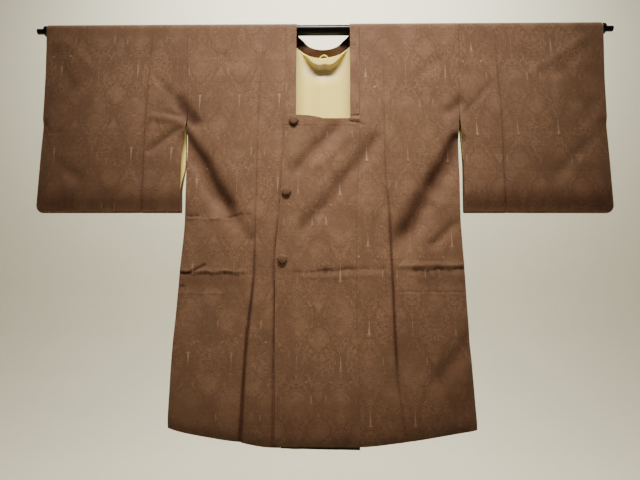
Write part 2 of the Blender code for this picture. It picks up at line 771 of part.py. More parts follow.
def hanging_loop():
    """A cord arch over the collar's seam, with both feet on the lining."""
    arch = bpy.data.curves.new("hanging_loop", "CURVE")
    arch.dimensions = "3D"
    arch.bevel_depth = LOOP_RADIUS
    arch.bevel_resolution = 2
    arch.use_fill_caps = True
    spline = arch.splines.new("POLY")
    spline.points.add(LOOP_POINTS - 1)
    level = back_depth(LOOP_X, LOOP_FOOT_DOWN) - LINING_GAP - LINING_WALL - GAP - LOOP_RADIUS
    for point, turn in zip(spline.points, steps(0, pi, LOOP_POINTS - 1)):
        x = LOOP_X - LOOP_HALF_WIDTH * cos(turn)
        point.co = (x, level, LOOP_HEIGHT * sin(turn) - LOOP_FOOT_DOWN, 1)
    arch.materials.append(material("hanging_loop", *LINING_LOOK))
    made = bpy.data.objects.new("hanging_loop", arch)
    bpy.context.collection.objects.link(made)


def rod():
    form = bmesh.new()
    along_x = Matrix.Rotation(pi / 2, 4, "Y")
    bmesh.ops.create_cone(
        form, cap_ends=True, segments=ROD_SIDES, radius1=ROD_RADIUS, radius2=ROD_RADIUS,
        depth=2 * ROD_HALF, matrix=along_x,
    )
    return finish("rod", form, LACQUER_LOOK)


def rod_end(side, name):
    """The knob past the cuff and the spigot that a stand's upright takes."""
    edge = 0.0015
    foot = GAP
    collar = foot + KNOB_LENGTH
    tip = collar + SPIGOT_LENGTH
    profile = [(0, foot), (KNOB_RADIUS - edge, foot), (KNOB_RADIUS, foot + edge)]
    profile += [(KNOB_RADIUS, collar - edge), (KNOB_RADIUS - edge, collar), (SPIGOT_RADIUS, collar)]
    profile += [(SPIGOT_RADIUS, tip), (0, tip)]
    made = turned(name, profile, ROD_SIDES, LACQUER_LOOK)
    made.data.transform(Matrix.Rotation(side * pi / 2, 4, "Y"))
    made.location.x = side * ROD_HALF
    return made


def surface_of(thing):
    """The object's mesh as a tree that rays can be cast at."""
    form = bmesh.new()
    form.from_mesh(thing.data)
    tree = BVHTree.FromBMesh(form)
    form.free()
    return tree


def main():
    for old in list(bpy.data.objects):
        bpy.data.objects.remove(old)
    rod()
    for side, hand in ((-1, "right"), (1, "left")):
        rod_end(side, f"rod_end_{hand}")
        body(side, f"body_{hand}")
        sleeve(side, f"sleeve_{hand}")
        gusset(side, f"gusset_{hand}")
        lining_sleeve(side, f"lining_sleeve_{hand}")
    front_band_right()
    neck_band()
    neck_band_under()
    lining_yoke()
    hanging_loop()
    panels = [surface_of(front_band_left()), surface_of(neck_band_front())]
    for number, place in enumerate(BUTTONS, start=1):
        button(place, panels, f"button_{number}")


main()
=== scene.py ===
from collections import namedtuple
from math import cos, pi, radians, sin

import bmesh
import bpy
import numpy as np
from bpy.props import FloatProperty, FloatVectorProperty, PointerProperty
from bpy.types import Operator, Panel, PropertyGroup
from mathutils import Matrix, Vector
from mathutils.bvhtree import BVHTree


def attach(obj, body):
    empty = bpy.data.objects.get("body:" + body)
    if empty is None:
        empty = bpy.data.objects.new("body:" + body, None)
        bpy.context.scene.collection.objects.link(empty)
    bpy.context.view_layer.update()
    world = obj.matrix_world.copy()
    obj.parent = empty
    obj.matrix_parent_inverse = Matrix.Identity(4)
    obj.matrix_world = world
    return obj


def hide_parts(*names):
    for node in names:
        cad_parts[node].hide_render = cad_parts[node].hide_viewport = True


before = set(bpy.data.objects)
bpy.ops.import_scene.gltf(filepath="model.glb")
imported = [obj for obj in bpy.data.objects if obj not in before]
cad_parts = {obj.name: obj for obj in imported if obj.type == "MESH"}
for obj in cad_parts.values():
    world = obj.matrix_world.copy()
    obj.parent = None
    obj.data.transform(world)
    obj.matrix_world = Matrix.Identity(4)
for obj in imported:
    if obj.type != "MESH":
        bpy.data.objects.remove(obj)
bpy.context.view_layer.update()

bl_info = {
    "name": "Michiyuki coat on a display rod",
    "version": (1, 0, 0),
    "blender": (4, 5, 0),
    "location": "3D View > Sidebar > Coat",
    "description": "Makes a lined silk coat with a square neck, hung flat over a lacquered rod",
    "category": "Add Mesh",
}


def table(columns, *rows):
    """Rows with named columns. A curve through them runs along the first column."""
    row_of = namedtuple("Row", columns)
    return tuple(row_of(*row) for row in rows)


# Lengths are in metres, +Z is up, +X is the wearer's left and the coat's front faces -Y. "down" is a
# distance below the rod's axis, and "out" is measured from the inner face of the part's cloth.

# Clearances, the solids' walls and the rod. OVER_ROD is the cloth's way over it, and UNDER_MIDDLE is where
# the front underneath has the middle of its wall
GAP = 0.0003
LAP_GAP = 0.0008
WALL = 0.0020
LINING_WALL = 0.0010
LINING_GAP = 0.0006
WELD = 0.000001
ROD_RADIUS = 0.0125
REST_RADIUS = ROD_RADIUS + GAP
SIDES = {-1: "right", 1: "left"}
OVER_ROD = pi * REST_RADIUS
UNDER_MIDDLE = -LAP_GAP - WALL / 2

# Widths from the centre back and drops from the rod, by side where the two differ
ARMHOLE_X = 0.3210
ARMPIT_DOWN = 0.2310
SLEEVE_BOTTOM = 0.4430
SLEEVE_CORNER = 0.0180
WRIST_OPENING = 0.2250
SIDE_HEM = 0.9310
BACK_HEM = 0.9340
NECK_SEAM_X = 0.0865
NECK_HALF = {-1: 0.0620, 1: 0.0645}
NECK_SEAM_DOWN = 0.2400
BACK_NECK_SEAM = 0.0660
BACK_NECK_EDGE = 0.0470
BACK_SEAM_POWER = 1.5
BACK_EDGE_POWER = 0.95
BACK_NECK_NARROWS = 0.0120
NECK_LEAN = 0.55
NECK_BAND_WIDTH = 0.0230
NECK_PATTERN_U = 0.0300
NECK_PATTERN_V = 0.2
# Painted shade on the back of the collar, in shadow under the rod: this much in its middle, full at its
# sides
NECK_BACK_SHADE = 0.55
YOKE_DOWN = 0.0900

# Depth of the inner face behind or before the rod's axis, in the middle of the coat and at its side
FRONT_DEPTHS = table(
    "down middle side",
    (0.000, REST_RADIUS, REST_RADIUS),
    (0.030, 0.0134, 0.0122),
    (0.120, 0.0165, 0.0102),
    (0.240, 0.0205, 0.0086),
    (0.450, 0.0245, 0.0088),
    (0.700, 0.0265, 0.0120),
    (0.970, 0.0285, 0.0165),
)
BACK_DEPTHS = table(
    "down middle side",
    (0.000, REST_RADIUS, REST_RADIUS),
    (0.030, 0.0132, 0.0122),
    (0.120, 0.0145, 0.0102),
    (0.240, 0.0155, 0.0086),
    (0.450, 0.0165, 0.0088),
    (0.700, 0.0180, 0.0120),
    (0.940, 0.0200, 0.0165),
)
PANEL_BULGE_POWER = 2.4
SLEEVE_DEPTHS = table(
    "down depth",
    (0.000, REST_RADIUS), (0.030, 0.0122), (0.120, 0.0102), (0.240, 0.0086),
    (0.360, 0.0068), (0.450, 0.0042),
)
SLEEVE_BILLOW = 0.0062
BILLOW_GROWS = (0.0200, 0.1800)
BILLOW_FADES = (0.2600, 0.4350)
CUFF_SEAM_HALF = 0.0002
CUFF_SEAM_REACH = 0.0300
CUFF_SEAM_FLAT = 0.0020
CUFF_LEVEL_REACH = 0.1200
CUFF_LEVEL_SHARE = 0.4000
WRIST_BLEND = 0.0120

# Edges and seams seen from the front
BODY_SIDE = {
    -1: table(
        "down x",
        (0.000, -0.3210), (0.205, -0.3210), (0.245, -0.3190), (0.451, -0.3200),
        (0.572, -0.3290), (0.679, -0.3360), (0.780, -0.3430), (0.932, -0.3480),
    ),
    1: table(
        "down x",
        (0.000, 0.3210), (0.205, 0.3210), (0.245, 0.3185), (0.418, 0.3185),
        (0.577, 0.3260), (0.686, 0.3310), (0.798, 0.3380), (0.932, 0.3465),
    ),
}
SLEEVE_INNER_EDGE = {
    -1: table(
        "down x",
        (0.000, -0.3210), (0.205, -0.3210), (0.266, -0.3270), (0.310, -0.3320),
        (0.352, -0.3320), (0.440, -0.3300),
    ),
    1: table(
        "down x",
        (0.000, 0.3210), (0.205, 0.3210), (0.255, 0.3250), (0.334, 0.3290),
        (0.442, 0.3280),
    ),
}
CUFF_EDGE = table(
    "down x",
    (0.000, 0.6605), (0.050, 0.6610), (0.225, 0.6650), (0.300, 0.6690),
    (0.440, 0.6750),
)
FRONT_SEAM = {
    -1: table(
        "down x",
        (0.000, -NECK_SEAM_X), (0.240, -NECK_SEAM_X), (0.420, -0.0880), (0.560, -0.0940),
        (0.970, -0.0920),
    ),
    1: table(
        "down x",
        (0.000, NECK_SEAM_X), (0.240, NECK_SEAM_X), (0.479, 0.0780), (0.690, 0.0770),
        (0.805, 0.0825), (0.970, 0.0830),
    ),
}
TOP_BAND_EDGE = table(
    "down x",
    (0.215, -0.0915), (0.256, -0.0910), (0.419, -0.0970), (0.556, -0.1070),
    (0.970, -0.1045),
)
FRONT_HEM = table(
    "x down",
    (-0.348, SIDE_HEM), (-0.308, 0.940), (-0.257, 0.948), (-0.182, 0.958),
    (-0.108, 0.968), (0.083, 0.9655), (0.183, 0.9550), (0.275, 0.942),
    (0.348, SIDE_HEM),
)

# The bands' lower ends, with pairs for where a change starts and is full, as shares of a band's length up
# from its hem. The band underneath hangs lower, less so towards its own seam, and is tucked in at its hem
BAND_HEM_RISE = 0.0045
BAND_HEM_RISES = (0.10, 0)
UNDER_BAND_PAST = 0.0015
UNDER_BAND_DROP = 0.0078
UNDER_BAND_LEVELS = 0.8
UNDER_BAND_DROPS = (0.02, 0)
UNDER_BAND_TUCK = 0.0018
UNDER_BAND_TUCKS = (0.012, 0.004)

# Where the top front starts to lie over the other, the collar's lower edge on each side and its step
LAP_START_X = -0.0400
LAP_FULL_X = -0.0595
NECK_EDGE_DOWN = {-1: 0.2150, 1: 0.2225}
NECK_STEP = (0.40, 0.66)
UNDER_STRIP_X = -0.0617

# Painted shade, darkened into the cloth's colour, from 0 to 1, with pairs for where it starts and is full:
# a shadow beside the top band's free edge, and darker cloth towards the hem, the wearer's left side and
# the sleeves' bottoms, ends and feet. DEEP_SHADE paints cloth in deep shadow, nearly black
BAND_SHADE = 1.0
BAND_SHADE_PAST = 0.0005
BAND_SHADE_REACH = 0.0056
BAND_SHADE_DOWN = (0.24, 0.56)
HEM_SHADE = 0.43
HEM_SHADE_DOWN = (0.82, 0.965)
SIDE_SHADE = 0.20
SIDE_SHADE_X = (0.10, 0.26)
SIDE_SHADE_DOWN = (0.58, 0.76)
SLEEVE_SHADE = 0.38
SLEEVE_SHADE_DOWN = (0.29, 0.42)
SLEEVE_SHADE_X = (0.50, 0.66)
SLEEVE_END_SHARE = 0.4
SLEEVE_FOOT_SHADE = {-1: 0.14, 1: 0.24}
SLEEVE_FOOT_DOWN = (0.376, 0.406)
DEEP_SHADE = 2.0
DEEP_SHADE_DOWN = 0.9620

# Pressed folds along the body and the sleeves: the cloth on their outer side drops back, and painted shade
# darkens the fold's line
FRONT_PRESS = {
    -1: table(
        "down x depth",
        (0.000, -0.1400, 0.0000),
        (0.060, -0.1430, 0.0008),
        (0.184, -0.1500, 0.0015),
        (0.419, -0.1540, 0.0018),
        (0.579, -0.1560, 0.0040),
        (0.736, -0.1710, 0.0056),
        (0.960, -0.1820, 0.0058),
    ),
    1: table(
        "down x depth",
        (0.000, 0.1410, 0.0000),
        (0.090, 0.1430, 0.0010),
        (0.349, 0.1460, 0.0020),
        (0.450, 0.1540, 0.0036),
        (0.578, 0.1590, 0.0042),
        (0.750, 0.1650, 0.0044),
        (0.830, 0.1700, 0.0026),
        (0.952, 0.1850, 0.0018),
    ),
}
BACK_PRESS = table(
    "down x depth",
    (0.000, 0.1500, 0.0000),
    (0.340, 0.1510, 0.0000),
    (0.600, 0.1560, 0.0026),
    (0.940, 0.1700, 0.0030),
)
SLEEVE_PRESS = table(
    "down x depth",
    (0.000, 0.4040, 0.0000),
    (0.080, 0.4105, 0.0018),
    (0.230, 0.4190, 0.0023),
    (0.440, 0.4245, 0.0020),
)
PRESS_INNER = 0.0004
PRESS_INNER_SHARE = 0.55
PRESS_OUTER = 0.0180
PRESS_SHADE_REACH = 0.0036
PRESS_SHADE_DEPTH = 0.0044

# Folds and creases as lines: depth is how far in they go, and a ridge has a depth below zero. A power of
# 2 gives a soft fold and 1 a sharp crease, fade is the share of the line that each end dies out over,
# shade is how much painted shade darkens the cloth along the line (with no depth, a row is only painted
# shade), lean makes one wall steeper than the other, and taper is how much narrower the fold starts
FOLD_COLUMNS = "x0 down0 x1 down1 half_width depth power fade shade lean taper"
Fold = namedtuple("Fold", FOLD_COLUMNS, defaults=(0.0, 0.0, 0.0))
FRONT_FOLDS = (
    Fold(-0.354, 0.161, -0.282, 0.250, 0.0140, 0.0080, 2, 0.30, 0.35),
    Fold(-0.347, 0.172, -0.290, 0.242, 0.0125, 0.0, 2, 0.26, 0.60),
    Fold(-0.3412, 0.242, -0.192, 0.490, 0.021, 0.0130, 2, 0.26, 0.25, 0.0, 0.4),
    Fold(-0.3280, 0.226, -0.180, 0.477, 0.0145, 0.0, 2, 0.26, 0.70, 0.0, 0.6),
    Fold(-0.204, 0.446, -0.150, 0.522, 0.0120, 0.0018, 2, 0.30, 0.35),
    Fold(0.280, 0.217, 0.338, 0.168, 0.0130, 0.0038, 2, 0.32, 0.34),
    Fold(0.330, 0.255, 0.245, 0.415, 0.0220, 0.0125, 2, 0.24, 0.25, 0.0, 0.4),
    Fold(0.2745, 0.3626, 0.156, 0.562, 0.0260, 0.0120, 2, 0.40, 0.20),
    Fold(0.320, 0.241, 0.2300, 0.4012, 0.0150, 0.0, 2, 0.22, 0.72, 0.0, 0.5),
    Fold(0.262, 0.343, 0.150, 0.532, 0.0160, 0.0, 2, 0.42, 0.74),
    Fold(0.052, 0.222, -0.084, 0.367, 0.015, 0.0052, 2, 0.22, 0.25),
    Fold(0.146, 0.246, -0.064, 0.514, 0.017, 0.0064, 2, 0.16, 0.28),
)
FRONT_CREASES = (
    Fold(0.322, 0.272, 0.284, 0.360, 0.0050, 0.0018, 2, 0.20, 0.10),
    Fold(0.060, 0.2175, 0.094, 0.2150, 0.0020, 0.0013, 2, 0.30, 0.75),
    Fold(0.054, 0.2290, 0.108, 0.2375, 0.0021, 0.0014, 2, 0.30, 0.75),
    Fold(0.060, 0.2235, 0.094, 0.2260, 0.0032, -0.0016, 2, 0.25),
    Fold(0.074, 0.2400, 0.080, 0.2540, 0.0020, 0.0012, 2, 0.30, 0.55),
    Fold(-0.281, 0.232, -0.172, 0.420, 0.015, -0.0016, 2, 0.25),
    Fold(0.110, 0.222, -0.040, 0.362, 0.012, -0.0016, 2, 0.25),
    Fold(0.322, 0.458, 0.236, 0.530, 0.012, 0.0038, 2, 0.25),
    Fold(0.118, 0.435, 0.128, 0.545, 0.010, 0.0012, 2, 0.30, 0.12),
    Fold(0.346, 0.708, 0.244, 0.850, 0.021, 0.0052, 2, 0.25, 0.24),
    Fold(0.350, 0.775, 0.285, 0.905, 0.036, 0.0, 2, 0.30, 0.22),
    Fold(-0.255, 0.050, -0.205, 0.105, 0.014, 0.0017, 2, 0.30),
    Fold(0.300, 0.068, 0.205, 0.130, 0.013, 0.0018, 2, 0.30),
    Fold(-0.334, 0.5785, -0.168, 0.5790, 0.0034, -0.0022, 1, 0.06),
    Fold(-0.330, 0.5860, -0.172, 0.5865, 0.0036, 0.0018, 1, 0.10, 1.0),
    Fold(-0.345, 0.604, -0.170, 0.604, 0.0170, 0.0006, 2, 0.12, 0.26),
    Fold(-0.075, 0.5815, 0.030, 0.5790, 0.0038, 0.0016, 1, 0.20, 0.80),
    Fold(-0.010, 0.5780, 0.086, 0.5735, 0.0046, 0.0030, 1, 0.14, 1.0),
    Fold(0.080, 0.5745, 0.152, 0.5720, 0.0036, 0.0014, 1, 0.16, 0.60),
    Fold(-0.060, 0.5920, 0.152, 0.5860, 0.0090, -0.0010, 2, 0.14),
    Fold(0.160, 0.5660, 0.336, 0.5635, 0.0060, -0.0018, 2, 0.12),
    Fold(0.196, 0.5790, 0.336, 0.5720, 0.0056, 0.0030, 1, 0.12, 1.0),
    Fold(0.205, 0.6020, 0.345, 0.6000, 0.0180, 0.0006, 2, 0.14, 0.30),
    Fold(-0.336, 0.628, -0.215, 0.629, 0.0026, -0.0012, 1, 0.10),
    Fold(0.162, 0.6245, 0.330, 0.6250, 0.0028, 0.0010, 1, 0.12, 0.50),
    Fold(0.158, 0.6290, 0.330, 0.6290, 0.0026, -0.0012, 1, 0.12),
    Fold(-0.322, 0.4560, -0.196, 0.4600, 0.0034, -0.0018, 1, 0.10),
    Fold(-0.320, 0.4490, -0.286, 0.4510, 0.0032, 0.0020, 1, 0.10, 0.90),
    Fold(-0.230, 0.4560, -0.160, 0.4460, 0.0032, 0.0020, 1, 0.12, 0.90),
    Fold(-0.336, 0.583, -0.300, 0.584, 0.0030, 0.0012, 2, 0.25, 0.80),
    Fold(-0.312, 0.585, -0.264, 0.561, 0.0032, 0.0018, 2, 0.14, 0.95),
    Fold(-0.344, 0.613, -0.312, 0.613, 0.0028, 0.0012, 2, 0.25, 0.80),
)
BACK_FOLDS = (
    Fold(-0.310, 0.390, -0.160, 0.660, 0.020, 0.0070, 2, 0.18, 0.12, 0.2),
    Fold(0.310, 0.370, 0.180, 0.600, 0.019, 0.0080, 2, 0.18, 0.12, -0.2),
    Fold(0.110, 0.420, -0.060, 0.640, 0.018, 0.0036, 2, 0.25),
)
BACK_CREASES = (
    Fold(-0.330, 0.582, -0.020, 0.578, 0.0034, 0.0014, 1, 0.08, 0.40),
    Fold(0.030, 0.577, 0.328, 0.584, 0.0040, 0.0018, 1, 0.08, 0.45),
    Fold(-0.318, 0.450, -0.120, 0.448, 0.0026, 0.0008, 1, 0.10, 0.25),
    Fold(0.120, 0.622, 0.325, 0.624, 0.0026, -0.0008, 1, 0.10),
    Fold(0.330, 0.700, 0.220, 0.815, 0.017, 0.0036, 2, 0.25),
)
SLEEVE_FOLDS = (
    Fold(0.630, 0.018, 0.462, 0.130, 0.010, -0.0018, 2, 0.18),
    Fold(0.642, 0.036, 0.522, 0.138, 0.013, 0.0020, 2, 0.20),
    Fold(0.645, 0.165, 0.600, 0.250, 0.014, 0.0020, 2, 0.30),
    Fold(0.658, 0.238, 0.512, 0.390, 0.015, 0.0032, 2, 0.25),
    Fold(0.402, 0.124, 0.324, 0.222, 0.0075, 0.0020, 2, 0.28, 0.12),
    Fold(-0.628, 0.014, -0.526, 0.122, 0.010, -0.0015, 2, 0.20),
    Fold(-0.656, 0.020, -0.588, 0.172, 0.016, 0.0026, 2, 0.20),
    Fold(-0.652, 0.298, -0.558, 0.382, 0.014, 0.0024, 2, 0.25),
    Fold(-0.408, 0.105, -0.346, 0.178, 0.009, 0.0022, 2, 0.28, 0.05),
    Fold(-0.390, 0.204, -0.324, 0.2110, 0.0050, 0.0030, 1, 0.20, 0.75),
    Fold(-0.418, 0.2125, -0.328, 0.2265, 0.009, -0.0024, 2, 0.22),
    Fold(-0.324, 0.235, -0.424, 0.306, 0.009, 0.0036, 2, 0.20, 0.18, 0.0, 0.4),
    Fold(-0.672, 0.245, -0.610, 0.249, 0.005, 0.0012, 2, 0.20, 0.25),
)

# What each side is creased by: its pressed fold, and all its folds
FRONT_FORM = (FRONT_PRESS, FRONT_FOLDS + FRONT_CREASES)
BACK_FORM = (BACK_PRESS, BACK_FOLDS + BACK_CREASES)
SLEEVE_FORM = (SLEEVE_PRESS, FRONT_FOLDS + SLEEVE_FOLDS)

# How a fold's line swings aside: by a share of its half width and over a length. It starts from one of the
# fold's own values times a number, so that no two folds swing alike. A sharp crease also fades in places
Swing = namedtuple("Swing", "share length start times")
SOFT_SWINGS = (Swing(0.13, 0.0190, "x0", 40),)
SHARP_SWINGS = (Swing(0.16, 0.0031, "down0", 90), Swing(0.38, 0.0078, "down1", 70), *SOFT_SWINGS)
BREAKS = (Swing(0.175, 0.0085, "down1", 60), Swing(0.175, 0.0024, "x1", 50))
TAPER_SHARE = 0.45

# Edges that curl inwards: how far from the edge it starts, and how far in the edge itself goes. Above its
# turned-up bottom a sleeve swells instead. No fold brings the cloth nearer than LEAST_DEPTH to the middle
HEM_CURL = 0.0300
HEM_CURL_DEPTH = 0.0050
SIDE_CURL = 0.0200
SIDE_CURL_DEPTH = 0.0034
SIDE_CURL_DOWN = (0.30, 0.62)
SLEEVE_CURL_SWELL = 0.0034
SLEEVE_CURL_DOWN = (0.3400, 0.4050, 0.4410)
LEAST_DEPTH = 0.0060

# Unevenness of hanging cloth: a few broad, shallow waves that never meet in step, with where they grow and
# fade
WAVES_GROW = (0.02, 0.12)
BACK_WAVES_GROW = (0.33, 0.45)
SLEEVE_WAVES_FADE = (0.36, 0.43)
WAVES = table(
    "across_turns down_turns start height",
    (5.1, 2.3, 0.4, 0.00040),
    (-7.7, 5.9, 1.9, 0.00028),
    (12.3, 3.7, 3.1, 0.00020),
    (3.3, -11.9, 0.9, 0.00022),
    (-17.9, 9.1, 5.2, 0.00012),
)

# Side gussets, folded inwards
GUSSET_TOP_WIDTH = 0.0250
GUSSET_HEM_WIDTH = 0.0640
GUSSET_WALL = 0.0024
GUSSET_GAP = 0.00045

# Linings that show
LINING_MIDDLE = -LINING_GAP - LINING_WALL / 2
LINING_THICK = LINING_WALL * 0.7
YOKE_HALF = 0.2900
YOKE_TOP = 0.0240
YOKE_BOTTOM = 0.3100
YOKE_FLAT = 0.0900
# Painted shade on the lining beside the collar's strips
BESIDE_BAND_X = 0.0660
BESIDE_BAND_REACH = 0.0110
BESIDE_BAND_SHADE = 0.22

# The lining's fullness at the collar's seam, by how far it lies below the seam: a roll with lobes at its
# lower edge, fine tucks over it, a hollow under it, and a wavy fall further down. Pairs are where a part
# starts and is full, and the hollow's are its half widths across and down
PUCKER_X = 0.0040
PUCKER_HALF = 0.0500
ROLL_DEPTH = 0.0180
ROLL_HALF = 0.0470
ROLL_HEIGHT = 0.0270
ROLL_END_HEIGHT = 0.0020
ROLL_STARTS = (-0.0010, 0.0070)
ROLL_ENDS = 0.0065
ROLL_LOBES = table("centre half_width lift", (0.0, 0.0060, -0.0030), (0.0180, 0.0100, 0.0012))
TUCK_DEPTH = 0.0007
TUCK_EVERY = 0.0085
TUCKS_GROW = (-0.0040, 0.0020)
TUCKS_FADE = (0.0100, 0.0180)
HOLLOW_DEPTH = 0.0007
HOLLOW_DOWN = 0.0310
HOLLOW_HALF = (0.0450, 0.0120)
FALL_WAVES = table("every centre height", (0.1100, 0.0040, 0.0024), (0.0370, -0.0040, 0.0007))
FALL_STARTS = (0.0260, 0.0700)

# The painted shadow under the roll
UNDER_ROLL_SHADE = 0.60
UNDER_ROLL_HALF = 0.0440
UNDER_ROLL_STARTS = (0.0140, 0.0260)
UNDER_ROLL_ENDS = (0.0440, 0.0600)

# The sleeves' linings: their reach, and how far their edge is drawn in at the opening
SLEEVE_LINING_TOP = 0.0300
SLEEVE_LINING_BOTTOM = 0.4050
SLEEVE_LINING_OUTER_X = 0.6000
SLEEVE_LINING_EDGE = 0.0020
SLEEVE_LINING_DRAWN = 0.0035
SLEEVE_LINING_DRAWS = {-1: (0.320, 0.395), 1: (0.280, 0.355)}

# The loose back edge of the right sleeve hangs a little nearer to the body than its front edge
BACK_EDGE_SHIFT = {-1: 0.0085, 1: 0.0}
BACK_EDGE_LEAVES = (0.235, 0.310)
BACK_EDGE_RETURNS = (0.325, 0.398)

# Buttons: their places, the dome as shares of radius and height, the gathers below its rim, and painted
# shade over the whole button, deeper towards the rim
BUTTON_RADIUS = 0.0110
BUTTON_HEIGHT = 0.0060
BUTTONS = table(
    "x down",
    (-0.0670, 0.2295), (-0.0825, 0.3965), (-0.0905, 0.5510),
)
BUTTON_DOME = table(
    "reach rise",
    (0, 0), (0.84, 0), (0.93, 0.03), (0.985, 0.12), (1.0, 0.22), (0.995, 0.34), (0.965, 0.50),
    (0.90, 0.655), (0.80, 0.775), (0.66, 0.875), (0.48, 0.945), (0.26, 0.985), (0, 1.0),
)
BUTTON_STEPS = 72
BUTTON_RIM = 0.55
BUTTON_SHADE = 0.42
BUTTON_RIM_SHADE = 0.55
BUTTON_PATTERN_U = 0.013
PLEATS = 18
PLEAT_DEPTH = 0.00022
BEFORE_COAT = 0.1

# Hanging loop: a half round arch of cord, a little oval, which turns as it goes
LOOP_RADIUS = 0.0015
LOOP_HALF_WIDTH = 0.0110
LOOP_HEIGHT = 0.0105
LOOP_X = 0.0030
LOOP_FOOT_DOWN = 0.0690
LOOP_POINTS = 41
LOOP_SIDES = 14
LOOP_STEP = 0.001
LOOP_SWELL = 1.10
LOOP_TWIST = 0.9

# Grid of the cloth: the finest cells at an edge, beside a pressed fold and along the waist's creases, and
# how cells grow from there. Near an edge the cloth rolls thinner, down to a share of its thickness
EDGE_CELL = 0.0003
FOLD_CELL = 0.0006
CREASE_CELL = 0.0022
CELL_GROWTH = 1.6
ROLL = 0.0009
ROLL_FLOOR = 0.40
SHARP_ANGLE = 50

# Pattern of the jacquard, in millimetres: one repeat across and along the cloth
REPEAT_ACROSS = 93.0
REPEAT_ALONG = 199.0

# Where the pattern starts on each piece, in metres, and which way up it runs. The cloth's grain fans out a
# little towards the hem and leans out with the cuff
PatternAt = namedtuple("PatternAt", "u v way")
PATTERN = {
    "body_right_silk": PatternAt(u=-0.193, v=-0.378, way=1),
    "body_left_silk": PatternAt(u=0.193, v=-0.108, way=-1),
    "sleeve_right_silk": PatternAt(u=-0.525, v=-0.106, way=1),
    "sleeve_left_silk": PatternAt(u=0.440, v=-0.045, way=-1),
    "front_band_left_silk": PatternAt(u=-0.054, v=-0.785, way=-1),
    "front_band_right_silk": PatternAt(u=-0.030, v=-0.700, way=1),
}
PLAIN_PATTERN = PatternAt(u=0.0, v=0.0, way=1)
GRAIN_FAN = 0.07
GRAIN_LEAN = 0.055
PATTERN_WANDERS = 3.4
MEDALLION_AT = -104.0
BLOSSOM_AT = -54.0
BUSH_AT = -128.0

# Finishes: the patterns' scale, the height of a weave's relief, the cord's lay, the tints of the silk's
# and the lining's painted shade, and the lacquer's handled tint
MILLIMETRES = 1000.0
RELIEF = 0.001
CORD_LAY = 0.0022
PAINTED_SHADE_TINT = (0.38, 0.235, 0.155)
LINING_PAINTED_SHADE_TINT = (1.0, 0.80, 0.60)
HANDLED_LACQUER = (0.006, 0.0055, 0.005)

# Camera, with its angles in degrees and its focus in pixels of the photo
CAMERA_PLACE = (0.011, -1.12, -0.589)
CAMERA_YAW = 0.85
CAMERA_PITCH = 4.26
CAMERA_ROLL = 0.11
CAMERA_FOCUS = 482.8
PHOTO_WIDTH = 640
SENSOR = 36.0
NEAREST_SEEN = 0.02

# Stage: a floor that sweeps up into a wall, and the lights
FLOOR_HALF = 6.0
FLOOR_STRIPS = 40
WALL_Y = 2.4
SWEEP_RADIUS = 0.8
WALL_COLOURS = ((0.78, 0.75, 0.60), (0.82, 0.79, 0.64))
SKY_COLOUR = (1.0, 0.98, 0.93, 1.0)
LAMP_COLOUR = (1.0, 0.94, 0.83)
WALL_LAMP_COLOUR = (1.0, 0.97, 0.86)
WALL_LAMP_POWER = 160.0
FRONT_LAMP_SHARE = 0.017
LampAt = namedtuple("LampAt", "place target size spread")
MAIN_LAMP = LampAt((0.02, -0.60, 0.78), (0.02, 0.0, -0.58), (1.05, 0.22), 68)
FRONT_LAMP = LampAt((0.02, -1.50, 0.10), (0.0, 0.0, -0.56), (0.30, 0.30), 30)
WALL_LAMP = LampAt((0.0, 0.9, 1.9), (0.0, WALL_Y, 0.0), (2.6, 0.6), 180)


# Sizes and colours that a user would change

class CoatSizes(PropertyGroup):
    silk_thickness: FloatProperty(
        name="Silk thickness", description="Thickness of the lined cloth",
        default=0.0012, min=0.0005, max=0.0018, unit="LENGTH",
    )
    cell: FloatProperty(
        name="Cell", description="Size of the grid cells away from edges and folds",
        default=0.0048, min=0.003, max=0.02, unit="LENGTH",
    )
    unevenness: FloatProperty(
        name="Unevenness", description="How strongly the hanging cloth waves", default=1.0, min=0.0, max=2.0,
    )


class CoatColours(PropertyGroup):
    ground: FloatVectorProperty(
        name="Ground", description="Colour of the silk between the figures",
        subtype="COLOR", size=3, default=(0.129, 0.0645, 0.0345),
    )
    figure: FloatVectorProperty(
        name="Figure", description="Colour of the woven figures",
        subtype="COLOR", size=3, default=(0.237, 0.135, 0.080),
    )
    mark: FloatVectorProperty(
        name="Marks", description="Colour of the small bright marks",
        subtype="COLOR", size=3, default=(0.31, 0.205, 0.132),
    )
    lining: FloatVectorProperty(
        name="Lining", description="Colour of the satin lining",
        subtype="COLOR", size=3, default=(1.0, 0.82, 0.22),
    )
    lacquer: FloatVectorProperty(
        name="Lacquer", description="Colour of the lacquered rod",
        subtype="COLOR", size=3, default=(0.003, 0.003, 0.003),
    )


class CoatStage(PropertyGroup):
    floor_down: FloatProperty(
        name="Floor", description="Distance of the floor below the rod", default=1.60, unit="LENGTH",
    )
    key_power: FloatProperty(
        name="Main light", description="Power of the main light, in watts", default=9.6,
    )
    surround: FloatProperty(
        name="Surround", description="Strength of the light from all round", default=0.08,
    )


# Curves and form of the hanging cloth, worked out for whole arrays of places

def mix(first, second, share):
    return first + (second - first) * share


def eased(value, start, end):
    """0 up to start and 1 from end on, with soft shoulders."""
    share = np.clip((value - start) / (end - start), 0, 1)
    return share * share * (3 - 2 * share)


